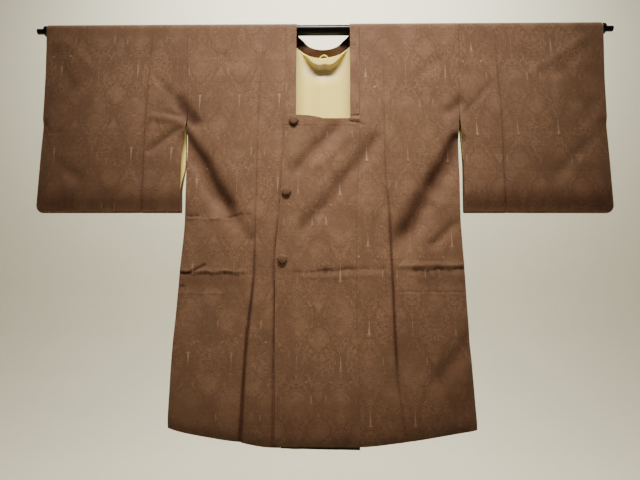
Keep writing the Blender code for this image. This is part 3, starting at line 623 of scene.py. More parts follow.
def curve_at(table, place, column):
    """The named column of a table, on a smooth curve through its rows, at places along its first column."""
    places = np.array([row[0] for row in table])
    values = np.array([getattr(row, column) for row in table])
    spans = np.diff(places)
    rises = np.diff(values)
    before = np.append(rises[0] / spans[0], rises / spans)
    after = np.append(rises / spans, rises[-1] / spans[-1])
    same_way = before * after > 0
    total = np.where(same_way, before + after, 1.0)
    slopes = np.where(same_way, 2 * before * after / total, 0.0)
    place = np.clip(place, places[0], places[-1])
    i = np.clip(np.searchsorted(places, place, side="right") - 1, 0, len(table) - 2)
    t = (place - places[i]) / spans[i]
    start = slopes[i] * spans[i]
    end = slopes[i + 1] * spans[i]
    rise = rises[i]
    return values[i] + t * (start + t * (3 * rise - 2 * start - end + t * (start + end - 2 * rise)))


def swinging(along, fold, swing):
    return np.sin(along / swing.length + getattr(fold, swing.start) * swing.times)


def along_fold(x, down, fold):
    """How fully a fold is there at each place, from 0 to 1."""
    run_x = fold.x1 - fold.x0
    run_down = fold.down1 - fold.down0
    length = np.hypot(run_x, run_down)
    along = ((x - fold.x0) * run_x + (down - fold.down0) * run_down) / length
    aside = ((x - fold.x0) * run_down - (down - fold.down0) * run_x) / length
    sharp = fold.power == 1
    for swing in SHARP_SWINGS if sharp else SOFT_SWINGS:
        aside = aside + fold.half_width * swing.share * swinging(along, fold, swing)
    fade = fold.fade * length
    there = eased(along, 0, fade * (1 - fold.taper)) * eased(length - along, 0, fade)
    if sharp:
        there = there * (1 - sum(gap.share * (1 + swinging(along, fold, gap)) for gap in BREAKS))
    reach = fold.half_width * (1 - fold.lean * np.sign(aside))
    reach = reach * mix(1 - fold.taper, 1.0, eased(along, 0, length * TAPER_SHARE))
    return there * np.exp(-(np.abs(aside / reach) ** fold.power))


def press_depth(outward, depth):
    """A pressed fold: a sharp step on its inner side, and a soft rise on its outer side."""
    reach = np.where(outward > 0, PRESS_OUTER, -PRESS_INNER - PRESS_INNER_SHARE * depth)
    return depth * np.exp(-outward / reach)


# Painted shade along a pressed fold's line, darker where the fold is deeper
def press_shade(outward, depth):
    return (depth / PRESS_SHADE_DEPTH) ** 2 * np.exp(-((outward / PRESS_SHADE_REACH) ** 2))


def by_side(x, tables, down, column):
    """A column of the table for each side, or of the one that both sides share."""
    if not isinstance(tables, dict):
        return curve_at(tables, down, column)
    return np.where(x > 0, curve_at(tables[1], down, column), curve_at(tables[-1], down, column))


def folded(column, x, down, press, folds):
    """The depth or the shade of a pressed fold and of all the folds, at each place."""
    outward = np.abs(x) - np.abs(by_side(x, press, down, "x"))
    measure = {"depth": press_depth, "shade": press_shade}[column]
    pressed = measure(outward, by_side(x, press, down, "depth"))
    at_work = [fold for fold in folds if getattr(fold, column)]
    return pressed + sum(getattr(fold, column) * along_fold(x, down, fold) for fold in at_work)


def waves(x, down, grow=WAVES_GROW):
    """Shallow unevenness, none of it at the rod."""
    total = sum(
        wave.height * np.sin(2 * pi * (wave.across_turns * x + wave.down_turns * down) + wave.start)
        for wave in WAVES
    )
    return bpy.context.scene.coat_sizes.unevenness * total * eased(down, *grow)


def panel_depth(x, down, depths):
    """The body's own depth, fullest in the middle and flat at the sides."""
    across = np.minimum(1.0, np.abs(x / by_side(x, BODY_SIDE, down, "x")))
    side = curve_at(depths, down, "side")
    return side + (curve_at(depths, down, "middle") - side) * (1 - across ** PANEL_BULGE_POWER)


def kept_open(depth):
    """Folds never go past the middle of the coat, and ease off before it."""
    least = LEAST_DEPTH * np.exp(np.minimum(depth / LEAST_DEPTH, 1) - 1)
    return np.where(depth < LEAST_DEPTH, least, depth)


def curl(x, down, hem):
    """How far the hem and the side edges curl in."""
    to_hem = np.clip((down - hem) / HEM_CURL + 1, 0, 1)
    past_side = np.abs(x) - np.abs(by_side(x, BODY_SIDE, down, "x"))
    to_side = np.clip(past_side / SIDE_CURL + 1, 0, 1)
    return HEM_CURL_DEPTH * to_hem ** 2 + SIDE_CURL_DEPTH * to_side ** 2 * eased(down, *SIDE_CURL_DOWN)


def front_depth(x, down):
    inwards = folded("depth", x, down, *FRONT_FORM) + curl(x, down, curve_at(FRONT_HEM, x, "down"))
    return kept_open(panel_depth(x, down, FRONT_DEPTHS) - inwards + waves(x, down))


def front_shade(x, down):
    # Painted shade: a shadow on the cloth beside the top band's free edge, darker cloth towards the wearer's
    # left side and the hem, and the folds' own painted shade
    past_band = curve_at(TOP_BAND_EDGE, down, "x") + BAND_SHADE_PAST - x
    under_band = np.where(past_band < 0, 0.0, np.exp(-((past_band / BAND_SHADE_REACH) ** 2)))
    under_band = BAND_SHADE * under_band * eased(down, *BAND_SHADE_DOWN)
    side = SIDE_SHADE * eased(x, *SIDE_SHADE_X) * eased(down, *SIDE_SHADE_DOWN)
    hem = HEM_SHADE * eased(down, *HEM_SHADE_DOWN)
    return np.minimum(1, folded("shade", x, down, *FRONT_FORM) + under_band + side + hem)


def back_depth(x, down):
    inwards = folded("depth", x, down, *BACK_FORM) + curl(x, down, BACK_HEM)
    return kept_open(panel_depth(x, down, BACK_DEPTHS) - inwards + waves(-x, down, BACK_WAVES_GROW))


def back_shade(x, down):
    return np.minimum(1, folded("shade", x, down, *BACK_FORM))


def sleeve_billow(x, down):
    """The sleeve's plain depth: even with the body at the armhole, full in the middle, flat at the cuff."""
    cuff = curve_at(CUFF_EDGE, down, "x")
    across = np.clip((np.abs(x) - ARMHOLE_X) / (cuff - ARMHOLE_X), 0, 1)
    level = eased(down, *BILLOW_GROWS)
    flatter = 1 - CUFF_LEVEL_SHARE * eased(np.abs(x), cuff - CUFF_LEVEL_REACH, cuff) * level
    swell = SLEEVE_BILLOW * np.sin(pi * across) ** 2 * level * (1 - eased(down, *BILLOW_FADES))
    return curve_at(SLEEVE_DEPTHS, down, "depth") * flatter + swell


def cuff_sewn(x, down):
    """1 where the front and back of the sleeve are sewn together at the cuff, below the wrist opening."""
    cuff = curve_at(CUFF_EDGE, down, "x")
    below_wrist = eased(down, WRIST_OPENING - WRIST_BLEND, WRIST_OPENING + WRIST_BLEND)
    return eased(np.abs(x), cuff - CUFF_SEAM_REACH, cuff - CUFF_SEAM_FLAT) * below_wrist


def sleeve_waves(x, down):
    """Waves that die out towards the turned-up bottom, where both sides lie close."""
    return waves(x, down) * (1 - eased(down, *SLEEVE_WAVES_FADE))


def sleeve_back_depth(x, down):
    return mix(sleeve_billow(x, down) + sleeve_waves(-x, down), CUFF_SEAM_HALF, cuff_sewn(x, down))


def sleeve_front_depth(x, down):
    start, full, gone = SLEEVE_CURL_DOWN
    swell = SLEEVE_CURL_SWELL * eased(down, start, full) * (1 - eased(down, full, gone))
    depth = sleeve_billow(x, down) - folded("depth", x, down, *SLEEVE_FORM) + sleeve_waves(x, down) + swell
    return mix(kept_open(depth), CUFF_SEAM_HALF, cuff_sewn(x, down))


def sleeve_front_shade(x, down):
    # Painted shade: darker cloth at the sleeve's turned-up foot, towards its bottom and its outer end, and
    # the folds' own painted shade
    foot = np.where(x > 0, SLEEVE_FOOT_SHADE[1], SLEEVE_FOOT_SHADE[-1]) * eased(down, *SLEEVE_FOOT_DOWN)
    shadow = eased(down, *SLEEVE_SHADE_DOWN) + SLEEVE_END_SHARE * eased(np.abs(x), *SLEEVE_SHADE_X)
    return np.minimum(1, folded("shade", x, down, *SLEEVE_FORM) + foot + SLEEVE_SHADE * shadow)


def lap(x):
    """How far out the top front band lies: level with the body, then over the other front."""
    return (WALL + LAP_GAP) * eased(-x, -LAP_START_X, -LAP_FULL_X)


# Placing cloth: each function gives x, y, z, the cloth's own u and v in metres, and painted shade

def gathered(*columns):
    return np.stack(np.broadcast_arrays(*columns), axis=-1)


def front_at(x, down, out):
    u = x * (1 - GRAIN_FAN * down)
    return gathered(x, -(front_depth(x, down) + out), -down, u, -down, front_shade(x, down))


def over_rod(x, turn, out):
    reach = REST_RADIUS + out
    return gathered(x, -reach * np.cos(turn), reach * np.sin(turn), x, REST_RADIUS * turn, 0.0)


def back_at(x, down, out):
    u = x * (1 - GRAIN_FAN * down)
    v = OVER_ROD + down
    return gathered(x, back_depth(x, down) + out, -down, u, v, back_shade(x, down))


def by_stretch(b, *stretches):
    """Takes the places of the first stretch up to b = 1, of the second up to 2, and so on."""
    placed = stretches[-1]
    for k in range(len(stretches) - 1, 0, -1):
        placed = np.where(b[..., None] <= k, stretches[k - 1], placed)
    return placed


# Grids

class Lines:
    """Grid lines one way: their places for the placing function, and how far each lies from the first.

    The cells may start or end fine, and grow from there.
    """

    def __init__(self, start, end, length, cell, fine_start=None, fine_end=None):
        def ramp(fine):
            sizes = []
            while fine is not None and fine < cell:
                sizes.append(fine)
                fine *= CELL_GROWTH
            return sizes

        first = ramp(fine_start)
        last = ramp(fine_end)[::-1]
        rest = max(cell, length - sum(first) - sum(last))
        count = max(1, round(rest / cell))
        sizes = np.array(first + [rest / count] * count + last)
        run = np.append(0, np.cumsum(sizes))
        self.places = mix(start, end, run / run[-1])
        self.run = run / run[-1] * length

    def __add__(self, other):
        joined = object.__new__(Lines)
        joined.places = np.append(self.places, other.places[1:])
        joined.run = np.append(self.run, self.run[-1] + other.run[1:])
        return joined

    def from_edge(self):
        return np.minimum(self.run, self.run[-1] - self.run)


def lines(*stretches):
    """The lines of several stretches, each with its start, end, length, cell and finest cells."""
    joined = Lines(*stretches[0])
    for stretch in stretches[1:]:
        joined += Lines(*stretch)
    return joined


def rolled(distance):
    """Thickness of the cloth near an edge or seam, where its faces roll together."""
    share = np.clip(distance / ROLL, 0, 1)
    return np.maximum(ROLL_FLOOR, np.sqrt(share * (2 - share)))


def outwards(form):
    bmesh.ops.recalc_face_normals(form, faces=form.faces)
    if form.calc_volume(signed=True) < 0:
        bmesh.ops.reverse_faces(form, faces=form.faces)


def cloth(name, across, along, place, looks, middle=WALL / 2, thick=None, ring=False, lined=None):
    """A thin shell on one grid, with rolled edges, its own UV map in metres and a crease attribute.

    place(a, b, out) gives arrays from gathered(). lined(a, b) says where the inner face is lining.
    """
    thick = thick or bpy.context.scene.coat_sizes.silk_thickness
    form = bmesh.new()
    columns = len(across.places) - 1
    rows = len(along.places) - 1
    bmesh.ops.create_grid(form, x_segments=columns, y_segments=rows, size=0.5)
    if ring:
        ends = [{}, {}]
        for vert in form.verts:
            if abs(vert.co.y) > 0.5 - 0.25 / rows:
                ends[vert.co.y > 0][round((vert.co.x + 0.5) * columns)] = vert
        bmesh.ops.weld_verts(form, targetmap={vert: ends[0][k] for k, vert in ends[1].items()})
    raised = bmesh.ops.extrude_face_region(form, geom=list(form.faces))["geom"]
    outer_verts = [item for item in raised if isinstance(item, bmesh.types.BMVert)]
    bmesh.ops.translate(form, verts=outer_verts, vec=(0, 0, 1))
    form.verts.index_update()
    flat = np.array([vert.co for vert in form.verts])
    column, row = np.rint((flat[:, :2] + 0.5) * (columns, rows)).astype(int).T
    outer = flat[:, 2]
    round_edge = rolled(across.from_edge())[column]
    if not ring:
        round_edge = np.minimum(round_edge, rolled(along.from_edge())[row])
    out = middle + (outer - 0.5) * thick * round_edge
    placed = place(across.places[column], along.places[row], out)
    for vert, spot in zip(form.verts, placed[:, :3].tolist()):
        vert.co = spot
    uv_of = form.loops.layers.uv.new("cloth")
    painted_shade_of = form.verts.layers.float.new("crease")
    pattern = PATTERN.get(name, PLAIN_PATTERN)
    uvs = ((placed[:, 3:5] - (pattern.u, pattern.v)) * (1, pattern.way)).tolist()
    for vert, shade in zip(form.verts, placed[:, 5].tolist()):
        vert[painted_shade_of] = shade
    for face in form.faces:
        for loop in face.loops:
            loop[uv_of].uv = uvs[loop.vert.index]
    if lined:
        inside = (lined(across.places[column], along.places[row]) & (outer == 0)).tolist()
        for face in form.faces:
            face.material_index = int(all(inside[vert.index] for vert in face.verts))
    outwards(form)
    return solid(name, form, looks)


def solid(name, form, looks):
    """Makes the object from a bmesh, with its materials."""
    mesh = bpy.data.meshes.new(name)
    form.to_mesh(mesh)
    form.free()
    mesh.shade_smooth()
    mesh.set_sharp_from_angle(angle=radians(SHARP_ANGLE))
    for look in looks:
        mesh.materials.append(look)
    made = bpy.data.objects.new(name, mesh)
    bpy.context.scene.collection.objects.link(made)
    return made


def fitted(piece, slot, *nodes):
    """The piece rides on the only body, takes its finish from the slot and stands for its CAD nodes."""
    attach(piece, "root")
    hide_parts(*nodes)
    return piece


# Shader maths

class Signal:
    """One output socket. Sums on it add nodes, and a plain number may stand on either side."""

    def __init__(self, finish, socket):
        self.finish = finish
        self.socket = socket

    def math(self, operation, *values):
        sockets = dict(enumerate((self, *values)))
        return self.finish.add("ShaderNodeMath", {"operation": operation}, sockets)

    def __add__(self, other):
        return self.math("ADD", other)

    def __sub__(self, other):
        return self.math("SUBTRACT", other)

    def __mul__(self, other):
        return self.math("MULTIPLY", other)

    def __pow__(self, other):
        return self.math("POWER", other)

    def __abs__(self):
        return self.math("ABSOLUTE")

    def __rsub__(self, other):
        return self.finish.add("ShaderNodeMath", {"operation": "SUBTRACT"}, {0: other, 1: self})

    __radd__ = __add__
    __rmul__ = __mul__

    def sine(self):
        return self.math("SINE")

    def wrapped(self, period):
        """The same value, repeated from minus half a period to plus half."""
        return self.math("WRAP", period / 2, -period / 2)

    def least(self, other):
        return self.math("MINIMUM", other)

    def most(self, other):
        return self.math("MAXIMUM", other)

    def soft(self, start, end):
        """0 at start and 1 at end, with soft shoulders. start may be the larger one."""
        return self.finish.add(
            "ShaderNodeMapRange", {"interpolation_type": "SMOOTHSTEP"},
            {"Value": self, "From Min": start, "From Max": end},
        )

    def line(self, place, half_width):
        """A soft line where the value is at that place."""
        return abs(self - place).soft(half_width, half_width * 0.35)


class Finish:
    """A material in the making. add() makes any node: its settings first, then its sockets."""

    def __init__(self, name, **constants):
        self.material = bpy.data.materials.new(name)
        self.material.use_nodes = True
        self.tree = self.material.node_tree
        self.shader = self.tree.nodes["Principled BSDF"]
        for socket, value in constants.items():
            self.shader.inputs[socket.replace("_", " ")].default_value = value

    def add(self, kind, settings=None, sockets=None, output=0):
        node = self.tree.nodes.new(kind)
        for key, value in (settings or {}).items():
            setattr(node, key, value)
        for key, value in (sockets or {}).items():
            self.feed(node.inputs[key], value)
        return Signal(self, node.outputs[output])

    def feed(self, socket, value):
        if isinstance(value, Signal):
            self.tree.links.new(value.socket, socket)
        else:
            socket.default_value = value

    def colour(self, share, first, second, blend="MIX"):
        """Two colours mixed. A plain colour is three numbers."""
        pair = [value if isinstance(value, Signal) else (*value, 1.0) for value in (first, second)]
        sockets = {0: share, 6: pair[0], 7: pair[1]}
        return self.add("ShaderNodeMix", {"data_type": "RGBA", "blend_type": blend}, sockets, output=2)

    def either(self, share, first, second):
        """The first value where share is 0, the second where it is 1."""
        return self.add("ShaderNodeMix", {"data_type": "FLOAT"}, {0: share, 2: first, 3: second})

    def noise(self, vector, scale, detail=2.0, roughness=0.5):
        sockets = {"Vector": vector, "Scale": scale, "Detail": detail, "Roughness": roughness}
        return self.add("ShaderNodeTexNoise", {"noise_dimensions": "3D"}, sockets)

    def vector(self, x, y, z=0.0):
        return self.add("ShaderNodeCombineXYZ", None, {0: x, 1: y, 2: z})

    def apart(self, vector):
        node = self.add("ShaderNodeSeparateXYZ", None, {0: vector}).socket.node
        return [Signal(self, socket) for socket in node.outputs]

    def bump(self, height, distance, strength=1.0):
        return self.add(
            "ShaderNodeBump", None, {"Strength": strength, "Distance": distance, "Height": height},
        )

    def shaded(self, base, shade):
        """A colour times a value."""
        return self.colour(1.0, base, self.vector(shade, shade, shade), blend="MULTIPLY")

    def on_cloth(self):
        """The cloth's own u and v, in metres."""
        return self.apart(self.add("ShaderNodeUVMap", {"uv_map": "cloth"}))[:2]

    def read_painted_shade(self):
        """How dark the cloth's creases are."""
        return self.add("ShaderNodeAttribute", {"attribute_name": "crease"}, output=2)

    def done(self, **sockets):
        for socket, value in sockets.items():
            self.feed(self.shader.inputs[socket.replace("_", " ")], value)
        return self.material


def made_once(maker):
    """The material of that maker, made at its first use."""
    def get():
        name = maker.__doc__.splitlines()[0].rstrip(".").lower().replace(" ", "_")
        return bpy.data.materials.get(name) or maker(name)
    return get


@made_once
def silk(name):
    """Outer silk jacquard."""
    colours = bpy.context.scene.coat_colours
    finish = Finish(name, Sheen_Weight=0.05, Sheen_Roughness=0.5, Specular_IOR_Level=0.20)
    along_u, along_v = finish.on_cloth()
    straight_u = along_u * MILLIMETRES
    straight_v = along_v * MILLIMETRES

    def blotches(scale, start, detail, roughness):
        """Noise over the cloth. start sets one apart from another."""
        return finish.noise(finish.vector(straight_u, straight_v, start), scale, detail, roughness)

    def threads(across, along, roughness=0.6):
        """Noise drawn out along the threads."""
        return finish.noise(finish.vector(straight_u * across, straight_v * along), 1.0, 2.0, roughness)

    # Woven outlines are never quite even, so everything below reads slightly wandering places
    wander = blotches(0.11, 0.0, 2.0, 0.6)
    wander_v = finish.noise(finish.vector(straight_v, straight_u, 40.0), 0.11, 2.0, 0.6)
    u = straight_u + (wander - 0.5) * PATTERN_WANDERS
    v = straight_v + (wander_v - 0.5) * PATTERN_WANDERS
    side_u = abs(u.wrapped(REPEAT_ACROSS))
    far_u = (u + REPEAT_ACROSS / 2).wrapped(REPEAT_ACROSS)
    far_side = abs(far_u)

    def level(start, rows=1):
        """Height above the row at start, which comes back after that many repeats."""
        return (v - start).wrapped(REPEAT_ALONG * rows)

    def distance(across, up):
        return (across * across + up * up) ** 0.5

    # Tall medallions on each column, an arched one with a fan and a straight one with bars by turns
    tall = level(MEDALLION_AT)
    arched = abs(level(MEDALLION_AT, 2)).soft(REPEAT_ALONG / 2 - 1, REPEAT_ALONG / 2 + 1)
    rounded = distance(side_u, tall * 0.76)
    pointed = (side_u + tall * 0.80) * 0.86
    upright = side_u * 1.16
    steps = (side_u + abs(tall) * 0.74) * 0.82
    arch_r = rounded.most(pointed)
    frame_r = finish.either(arched, steps.most(upright), arch_r)
    inside = frame_r.soft(34.0, 31.0)
    outline = frame_r.line(33.0, 2.0).most(frame_r.line(28.0, 1.3) * 0.7)
    low = tall + 14.0
    turn = low.math("ARCTAN2", side_u)
    spread = distance(side_u, low)
    leaves = (turn * 13.0).math("COSINE")
    fan = (spread - leaves * 1.6).line(31.0, 1.6)
    fan = fan.most(leaves.soft(-0.1, 0.8) * spread.soft(10.0, 13.0) * 0.7)
    fan = fan.most(spread.line(9.0, 1.6)) * low.soft(-1.0, 1.0)
    bowl = spread.soft(20.0, 18.0) * (1.0 - spread.line(13.0, 1.8)) * low.soft(1.5, -0.5)
    bowed = tall + side_u * side_u * 0.014
    bars = (bowed * (2 * pi / 6.4)).sine().soft(0.0, 0.7) * tall.soft(3.0, 5.0)
    ring = distance(side_u, tall + 16.0)
    ring_turn = (tall + 16.0).math("ARCTAN2", side_u)
    blossom = (ring - (ring_turn * 10.0).math("COSINE") * 1.5).line(14.0, 1.8)
    blossom = blossom.most(ring.line(6.5, 1.6)).most(ring.soft(2.6, 1.4)) * tall.soft(4.0, 2.0)
    filled = finish.either(arched, bars.most(blossom), fan.most(bowl))
    medallion = filled * frame_r.soft(27.0, 25.0)

    # Round blossoms and small bushes, half a repeat across
    up = level(BLOSSOM_AT)
    r = distance(far_side, up * 0.90)
    drop_r = r.most((far_side + up * 0.9) * 0.88)
    blossom_turn = (up.math("ARCTAN2", far_u) * 8.0).math("COSINE")
    petals = (r - blossom_turn * 2.2).soft(16.0, 13.5)
    petals = petals * (1.0 - (r - abs(blossom_turn) * 1.8).line(7.5, 1.8))
    rosette = petals.most((drop_r - blossom_turn * 1.2).line(21.0, 1.5) * 0.6)
    bush_up = level(BUSH_AT)
    bush = (far_side + bush_up * 0.55).soft(9.0, 7.0) * abs(bush_up).soft(11.0, 9.0)

    # Curved lattice between them, darker than the ground
    swing = (level(MEDALLION_AT) * (2 * pi / REPEAT_ALONG)).math("COSINE")
    off_lattice = side_u - (swing * 0.78 + 1.0) * (REPEAT_ACROSS / 4)
    outside = frame_r.soft(33.0, 36.0) * drop_r.soft(26.0, 28.5)
    lattice = abs(off_lattice).line(3.0, 1.4) * outside
    pillar_end = (abs(tall) - 44.0).most(0.0)
    pillar = distance(far_side, pillar_end).line(8.5, 1.5) * outside
    beads = off_lattice.line(0.0, 1.9) * (v * (2 * pi / 7.5)).sine().soft(0.0, 0.6) * outside

    # Leafy filling, mirrored about the middle of each repeat as a woven figure is
    mirrored = finish.vector(side_u, v)
    leafy = finish.noise(mirrored, 0.125, 2.0, 0.5)
    buds = finish.noise(mirrored, 0.23, 1.0, 0.5)
    foliage = (leafy.line(0.505, 0.058) * 0.68).most(leafy.soft(0.58, 0.65) * 0.8)
    foliage = foliage.most(buds.soft(0.54, 0.63) * 0.6)
    foliage = foliage * (outside * 0.45 + 0.55) * (abs(off_lattice).soft(4.0, 6.0) * 0.6 + 0.4)
    body = inside.most(drop_r.soft(26.0, 23.0) * 0.9)
    figure = (medallion * 0.42).most(rosette * 0.40).most(beads * 0.35).most(foliage)
    figure = (figure * 0.85 + body * 0.18).most(bush * buds)

    # Small bright marks: a tapered spray on each column, dots above it, upright dashes and a cross
    spray_up = level(0.0)
    taper = spray_up.soft(-18.0, 15.0) * 1.7 + 0.3
    spray = (side_u - taper).soft(0.9, -0.5) * abs(spray_up).soft(17.0, 14.0)
    cap = (side_u + abs(spray_up - 14.5) * 2.4).soft(9.0, 6.0)
    marks = spray.most(cap * 0.5)
    dot = distance(side_u - 20.5, level(39.0, 2))
    marks = marks.most(dot.soft(3.4, 1.6))
    dash = (abs(side_u - 31.0) * 2.6).most(abs(level(MEDALLION_AT + REPEAT_ALONG - 18.0, 2)) * 0.38)
    marks = marks.most(dash.soft(4.6, 2.6) * 0.8)
    pair = (abs(far_side - 18.0) * 2.6).most(abs(level(-126.0, 2)) * 0.38)
    marks = marks.most(pair.soft(4.2, 2.4) * 0.6)
    cross_up = abs(level(-69.0))
    cross = abs(side_u - cross_up).soft(1.4, 0.5) * side_u.most(cross_up).soft(5.5, 4.5)
    marks = marks.most(cross * 0.35)
    catch = blotches(0.0135, 7.0, 1.0, 0.5)
    marks = marks * (catch.soft(0.40, 0.66) * 0.90 + 0.10)

    # The weave: fine upright crepe, slubs across, and a slow change of dye
    fine = threads(1.35, 0.20)
    slub = threads(0.06, 0.70)
    dye = threads(0.012, 0.009, 0.5)
    mottle = blotches(0.16, 3.0, 3.0, 0.65)
    ribs = (straight_v * (2 * pi / 0.9)).sine() * 0.5 + (straight_u * (2 * pi / 0.7)).sine() * 0.5

    worn = blotches(0.022, 19.0, 3.0, 0.6).soft(0.36, 0.62)
    woven = figure * (0.25 + fine * 0.7 + mottle * 0.55) * (worn * 0.70 + 0.30)
    base = finish.colour(woven.least(1.0), colours.ground, colours.figure)
    base = finish.colour((marks * (0.30 + fine * 0.8)).least(1.0), base, colours.mark)
    crease = finish.read_painted_shade()
    shade = (0.55 + fine * 0.28 + slub * 0.26 + mottle * 0.42) * (0.82 + dye * 0.36)
    # Deep shadow painted nearly black, where the painted shade goes above 1
    shade = shade * (1.0 - crease.soft(1.0, DEEP_SHADE) * 0.8)
    drawn = outline.most(pillar).most(drop_r.line(25.0, 1.9)).most(lattice * 0.4)
    shade = shade * (1.0 - drawn * (0.022 + worn * 0.062))
    base = finish.shaded(base, shade)
    # Painted shade, mottled, in a darker and redder tint: creases, hems, sleeve ends, buttons and cast
    # shadows
    folded = (crease * (0.42 + mottle * 1.15)).least(1.0)
    base = finish.colour(folded, base, finish.colour(1.0, base, PAINTED_SHADE_TINT, blend="MULTIPLY"))
    height = figure * 0.10 + marks * 0.08 + fine * 0.20 + slub * 0.14 + ribs * 0.05
    rough = 0.70 - figure * 0.10 - marks * 0.10 + fine * 0.06
    return finish.done(Base_Color=base, Roughness=rough, Normal=finish.bump(height, RELIEF))


@made_once
def lining(name):
    """Cream satin lining."""
    colours = bpy.context.scene.coat_colours
    finish = Finish(name, Specular_IOR_Level=0.28)
    along_u, along_v = finish.on_cloth()
    u = along_u * MILLIMETRES
    v = along_v * MILLIMETRES
    threads = finish.noise(finish.vector(u * 2.6, v * 0.12), 1.0, 2.0, 0.6)
    slow = finish.noise(finish.vector(u * 0.03, v * 0.012), 1.0, 2.0, 0.5)
    # Painted shade, read from the mesh: a less yellow tint, a little darker, under the roll and beside the
    # collar's strips
    crease = finish.read_painted_shade()
    shade = (0.94 + threads * 0.10) * (0.94 + slow * 0.12) * (1.0 - crease * 0.20)
    base = finish.shaded(finish.colour(crease, colours.lining, LINING_PAINTED_SHADE_TINT), shade)
    rough = 0.40 + threads * 0.12
    height = threads * 0.10 + slow * 0.5
    return finish.done(Base_Color=base, Roughness=rough, Normal=finish.bump(height, RELIEF))


@made_once
def cord(name):
    """Cream twisted cord."""
    colours = bpy.context.scene.coat_colours
    finish = Finish(name, Sheen_Weight=0.15)
    round_u, along_v = finish.on_cloth()
    twist = (along_v * (2 * pi / CORD_LAY) + round_u * (2 * pi)).sine()
    fibre = finish.noise(finish.vector(round_u * 30.0, along_v * 900.0), 1.0, 2.0, 0.6)
    # The twist paints the strands lighter and the grooves between them darker, as painted shade; the fibres
    # vary at random
    shade = 0.86 + twist * 0.08 + fibre * 0.10
    base = finish.shaded(colours.lining, shade)
    height = twist * 0.5 + fibre * 0.2
    return finish.done(Base_Color=base, Roughness=0.62 - twist * 0.05, Normal=finish.bump(height, 0.0004))


@made_once
def lacquer(name):
    """Gloss black lacquer."""
    colours = bpy.context.scene.coat_colours
    finish = Finish(name, Coat_Roughness=0.05, Specular_IOR_Level=0.10)
    at = finish.add("ShaderNodeTexCoord", output=3)
    x, y, z = finish.apart(at)
    brushed = finish.noise(finish.vector(x * 9.0, y * 160.0, z * 160.0), 1.0, 2.0, 0.6)
    handled = finish.noise(finish.vector(x * 22.0, y * 60.0, z * 60.0), 1.0, 3.0, 0.6)
    base = finish.colour(handled * 0.5, colours.lacquer, HANDLED_LACQUER)
    rough = 0.08 + handled * 0.07
    return finish.done(
        Base_Color=base, Roughness=rough, Coat_Weight=0.18 + brushed * 0.12,
        Normal=finish.bump(brushed, 0.0001),
    )


# Making the pieces

def across_at(a, inner_x, fold_x, outer_x):
    """Places across a piece, with a = 1 on its pressed fold."""
    return np.where(a <= 1, mix(inner_x, fold_x, a), mix(fold_x, outer_x, a - 1))


def body(side):
    """One length of cloth: up the front, over the rod, round the back of the neck and down the back."""
    cell = bpy.context.scene.coat_sizes.cell
    press = FRONT_PRESS[side]

    def edge_x(down):
        return side * (np.abs(curve_at(BODY_SIDE[side], down, "x")) - GAP / 2)

    def front_x(a, down):
        seam_x = curve_at(FRONT_SEAM[side], down, "x") + side * GAP / 2
        return across_at(a, seam_x, curve_at(press, down, "x"), edge_x(down))

    def back_part(a, inner_x, inner_down, outer_down, out):
        fold_x = side * curve_at(BACK_PRESS, outer_down, "x")
        x = across_at(a, inner_x, fold_x, edge_x(outer_down))
        down = mix(inner_down, outer_down, (x - inner_x) / (edge_x(outer_down) - inner_x))
        return back_at(x, down, out)

    def place(a, b, out):
        hem = curve_at(FRONT_HEM, front_x(a, SIDE_HEM), "down")
        down = np.where(b <= 1, mix(hem, ARMPIT_DOWN, b), mix(ARMPIT_DOWN, 0, b - 1))
        x = front_x(a, down)
        front = front_at(x, down, out)
        # Painted shadow, nearly black, on the body's hem under the top band
        below_band = (x > curve_at(TOP_BAND_EDGE, down, "x")) & (x < 0) & (down > DEEP_SHADE_DOWN)
        front[..., 5] = np.maximum(front[..., 5], DEEP_SHADE * below_band)
        top_x = front_x(a, 0)
        rod = over_rod(top_x, pi * (b - 2), out)
        turn = pi / 2 * np.clip(b - 3, 0, 1)
        neck_x = side * ((NECK_SEAM_X + GAP / 2) * np.cos(turn) + GAP / 2)
        neck_down = (BACK_NECK_SEAM + GAP / 2) * np.sin(turn) ** BACK_SEAM_POWER
        neck = back_part(a, neck_x, neck_down, YOKE_DOWN * (b - 3), out)
        low_down = mix(BACK_NECK_SEAM + GAP / 2, BACK_HEM, b - 4)
        back = back_part(a, side * GAP / 2, low_down, mix(YOKE_DOWN, SIDE_HEM, b - 4), out)
        return by_stretch(b, front, front, rod, neck, back)

    across = lines(
        (0, 1, 0.060, cell * 0.8, EDGE_CELL, FOLD_CELL),
        (1, 2, 0.175, cell * 0.65, FOLD_CELL, EDGE_CELL),
    )
    along = lines(
        (0, 0.42, 0.300, cell, EDGE_CELL),
        (0.42, 0.72, 0.216, CREASE_CELL),
        (0.72, 1, 0.200, cell),
        (1, 2, ARMPIT_DOWN, cell),
        (2, 3, 0.040, 0.0028),
        (3, 4, 0.090, cell),
        (4, 4.50, 0.430, cell * 1.5),
        (4.50, 4.70, 0.170, 0.0026),
        (4.70, 5, 0.260, cell * 1.5, None, EDGE_CELL),
    )

    def lined(a, b):
        """All but the silk that is turned in at the hems and down the side."""
        return (b > 0.02) & (b < 4.985) & (a < 1.97)

    name = f"body_{SIDES[side]}"
    made = cloth(f"{name}_silk", across, along, place, (silk(), lining()), lined=lined)
    fitted(made, "outer_silk", name)


def back_edge_shift(side, down):
    return BACK_EDGE_SHIFT[side] * eased(down, *BACK_EDGE_LEAVES) * (1 - eased(down, *BACK_EDGE_RETURNS))


def sleeve_bottom(x):
    """The bottom edge, rounded at the outer corner."""
    past = np.clip(np.abs(x) - (CUFF_EDGE[-1].x - SLEEVE_CORNER), 0, SLEEVE_CORNER)
    return SLEEVE_BOTTOM - SLEEVE_CORNER + np.sqrt(SLEEVE_CORNER ** 2 - past ** 2)


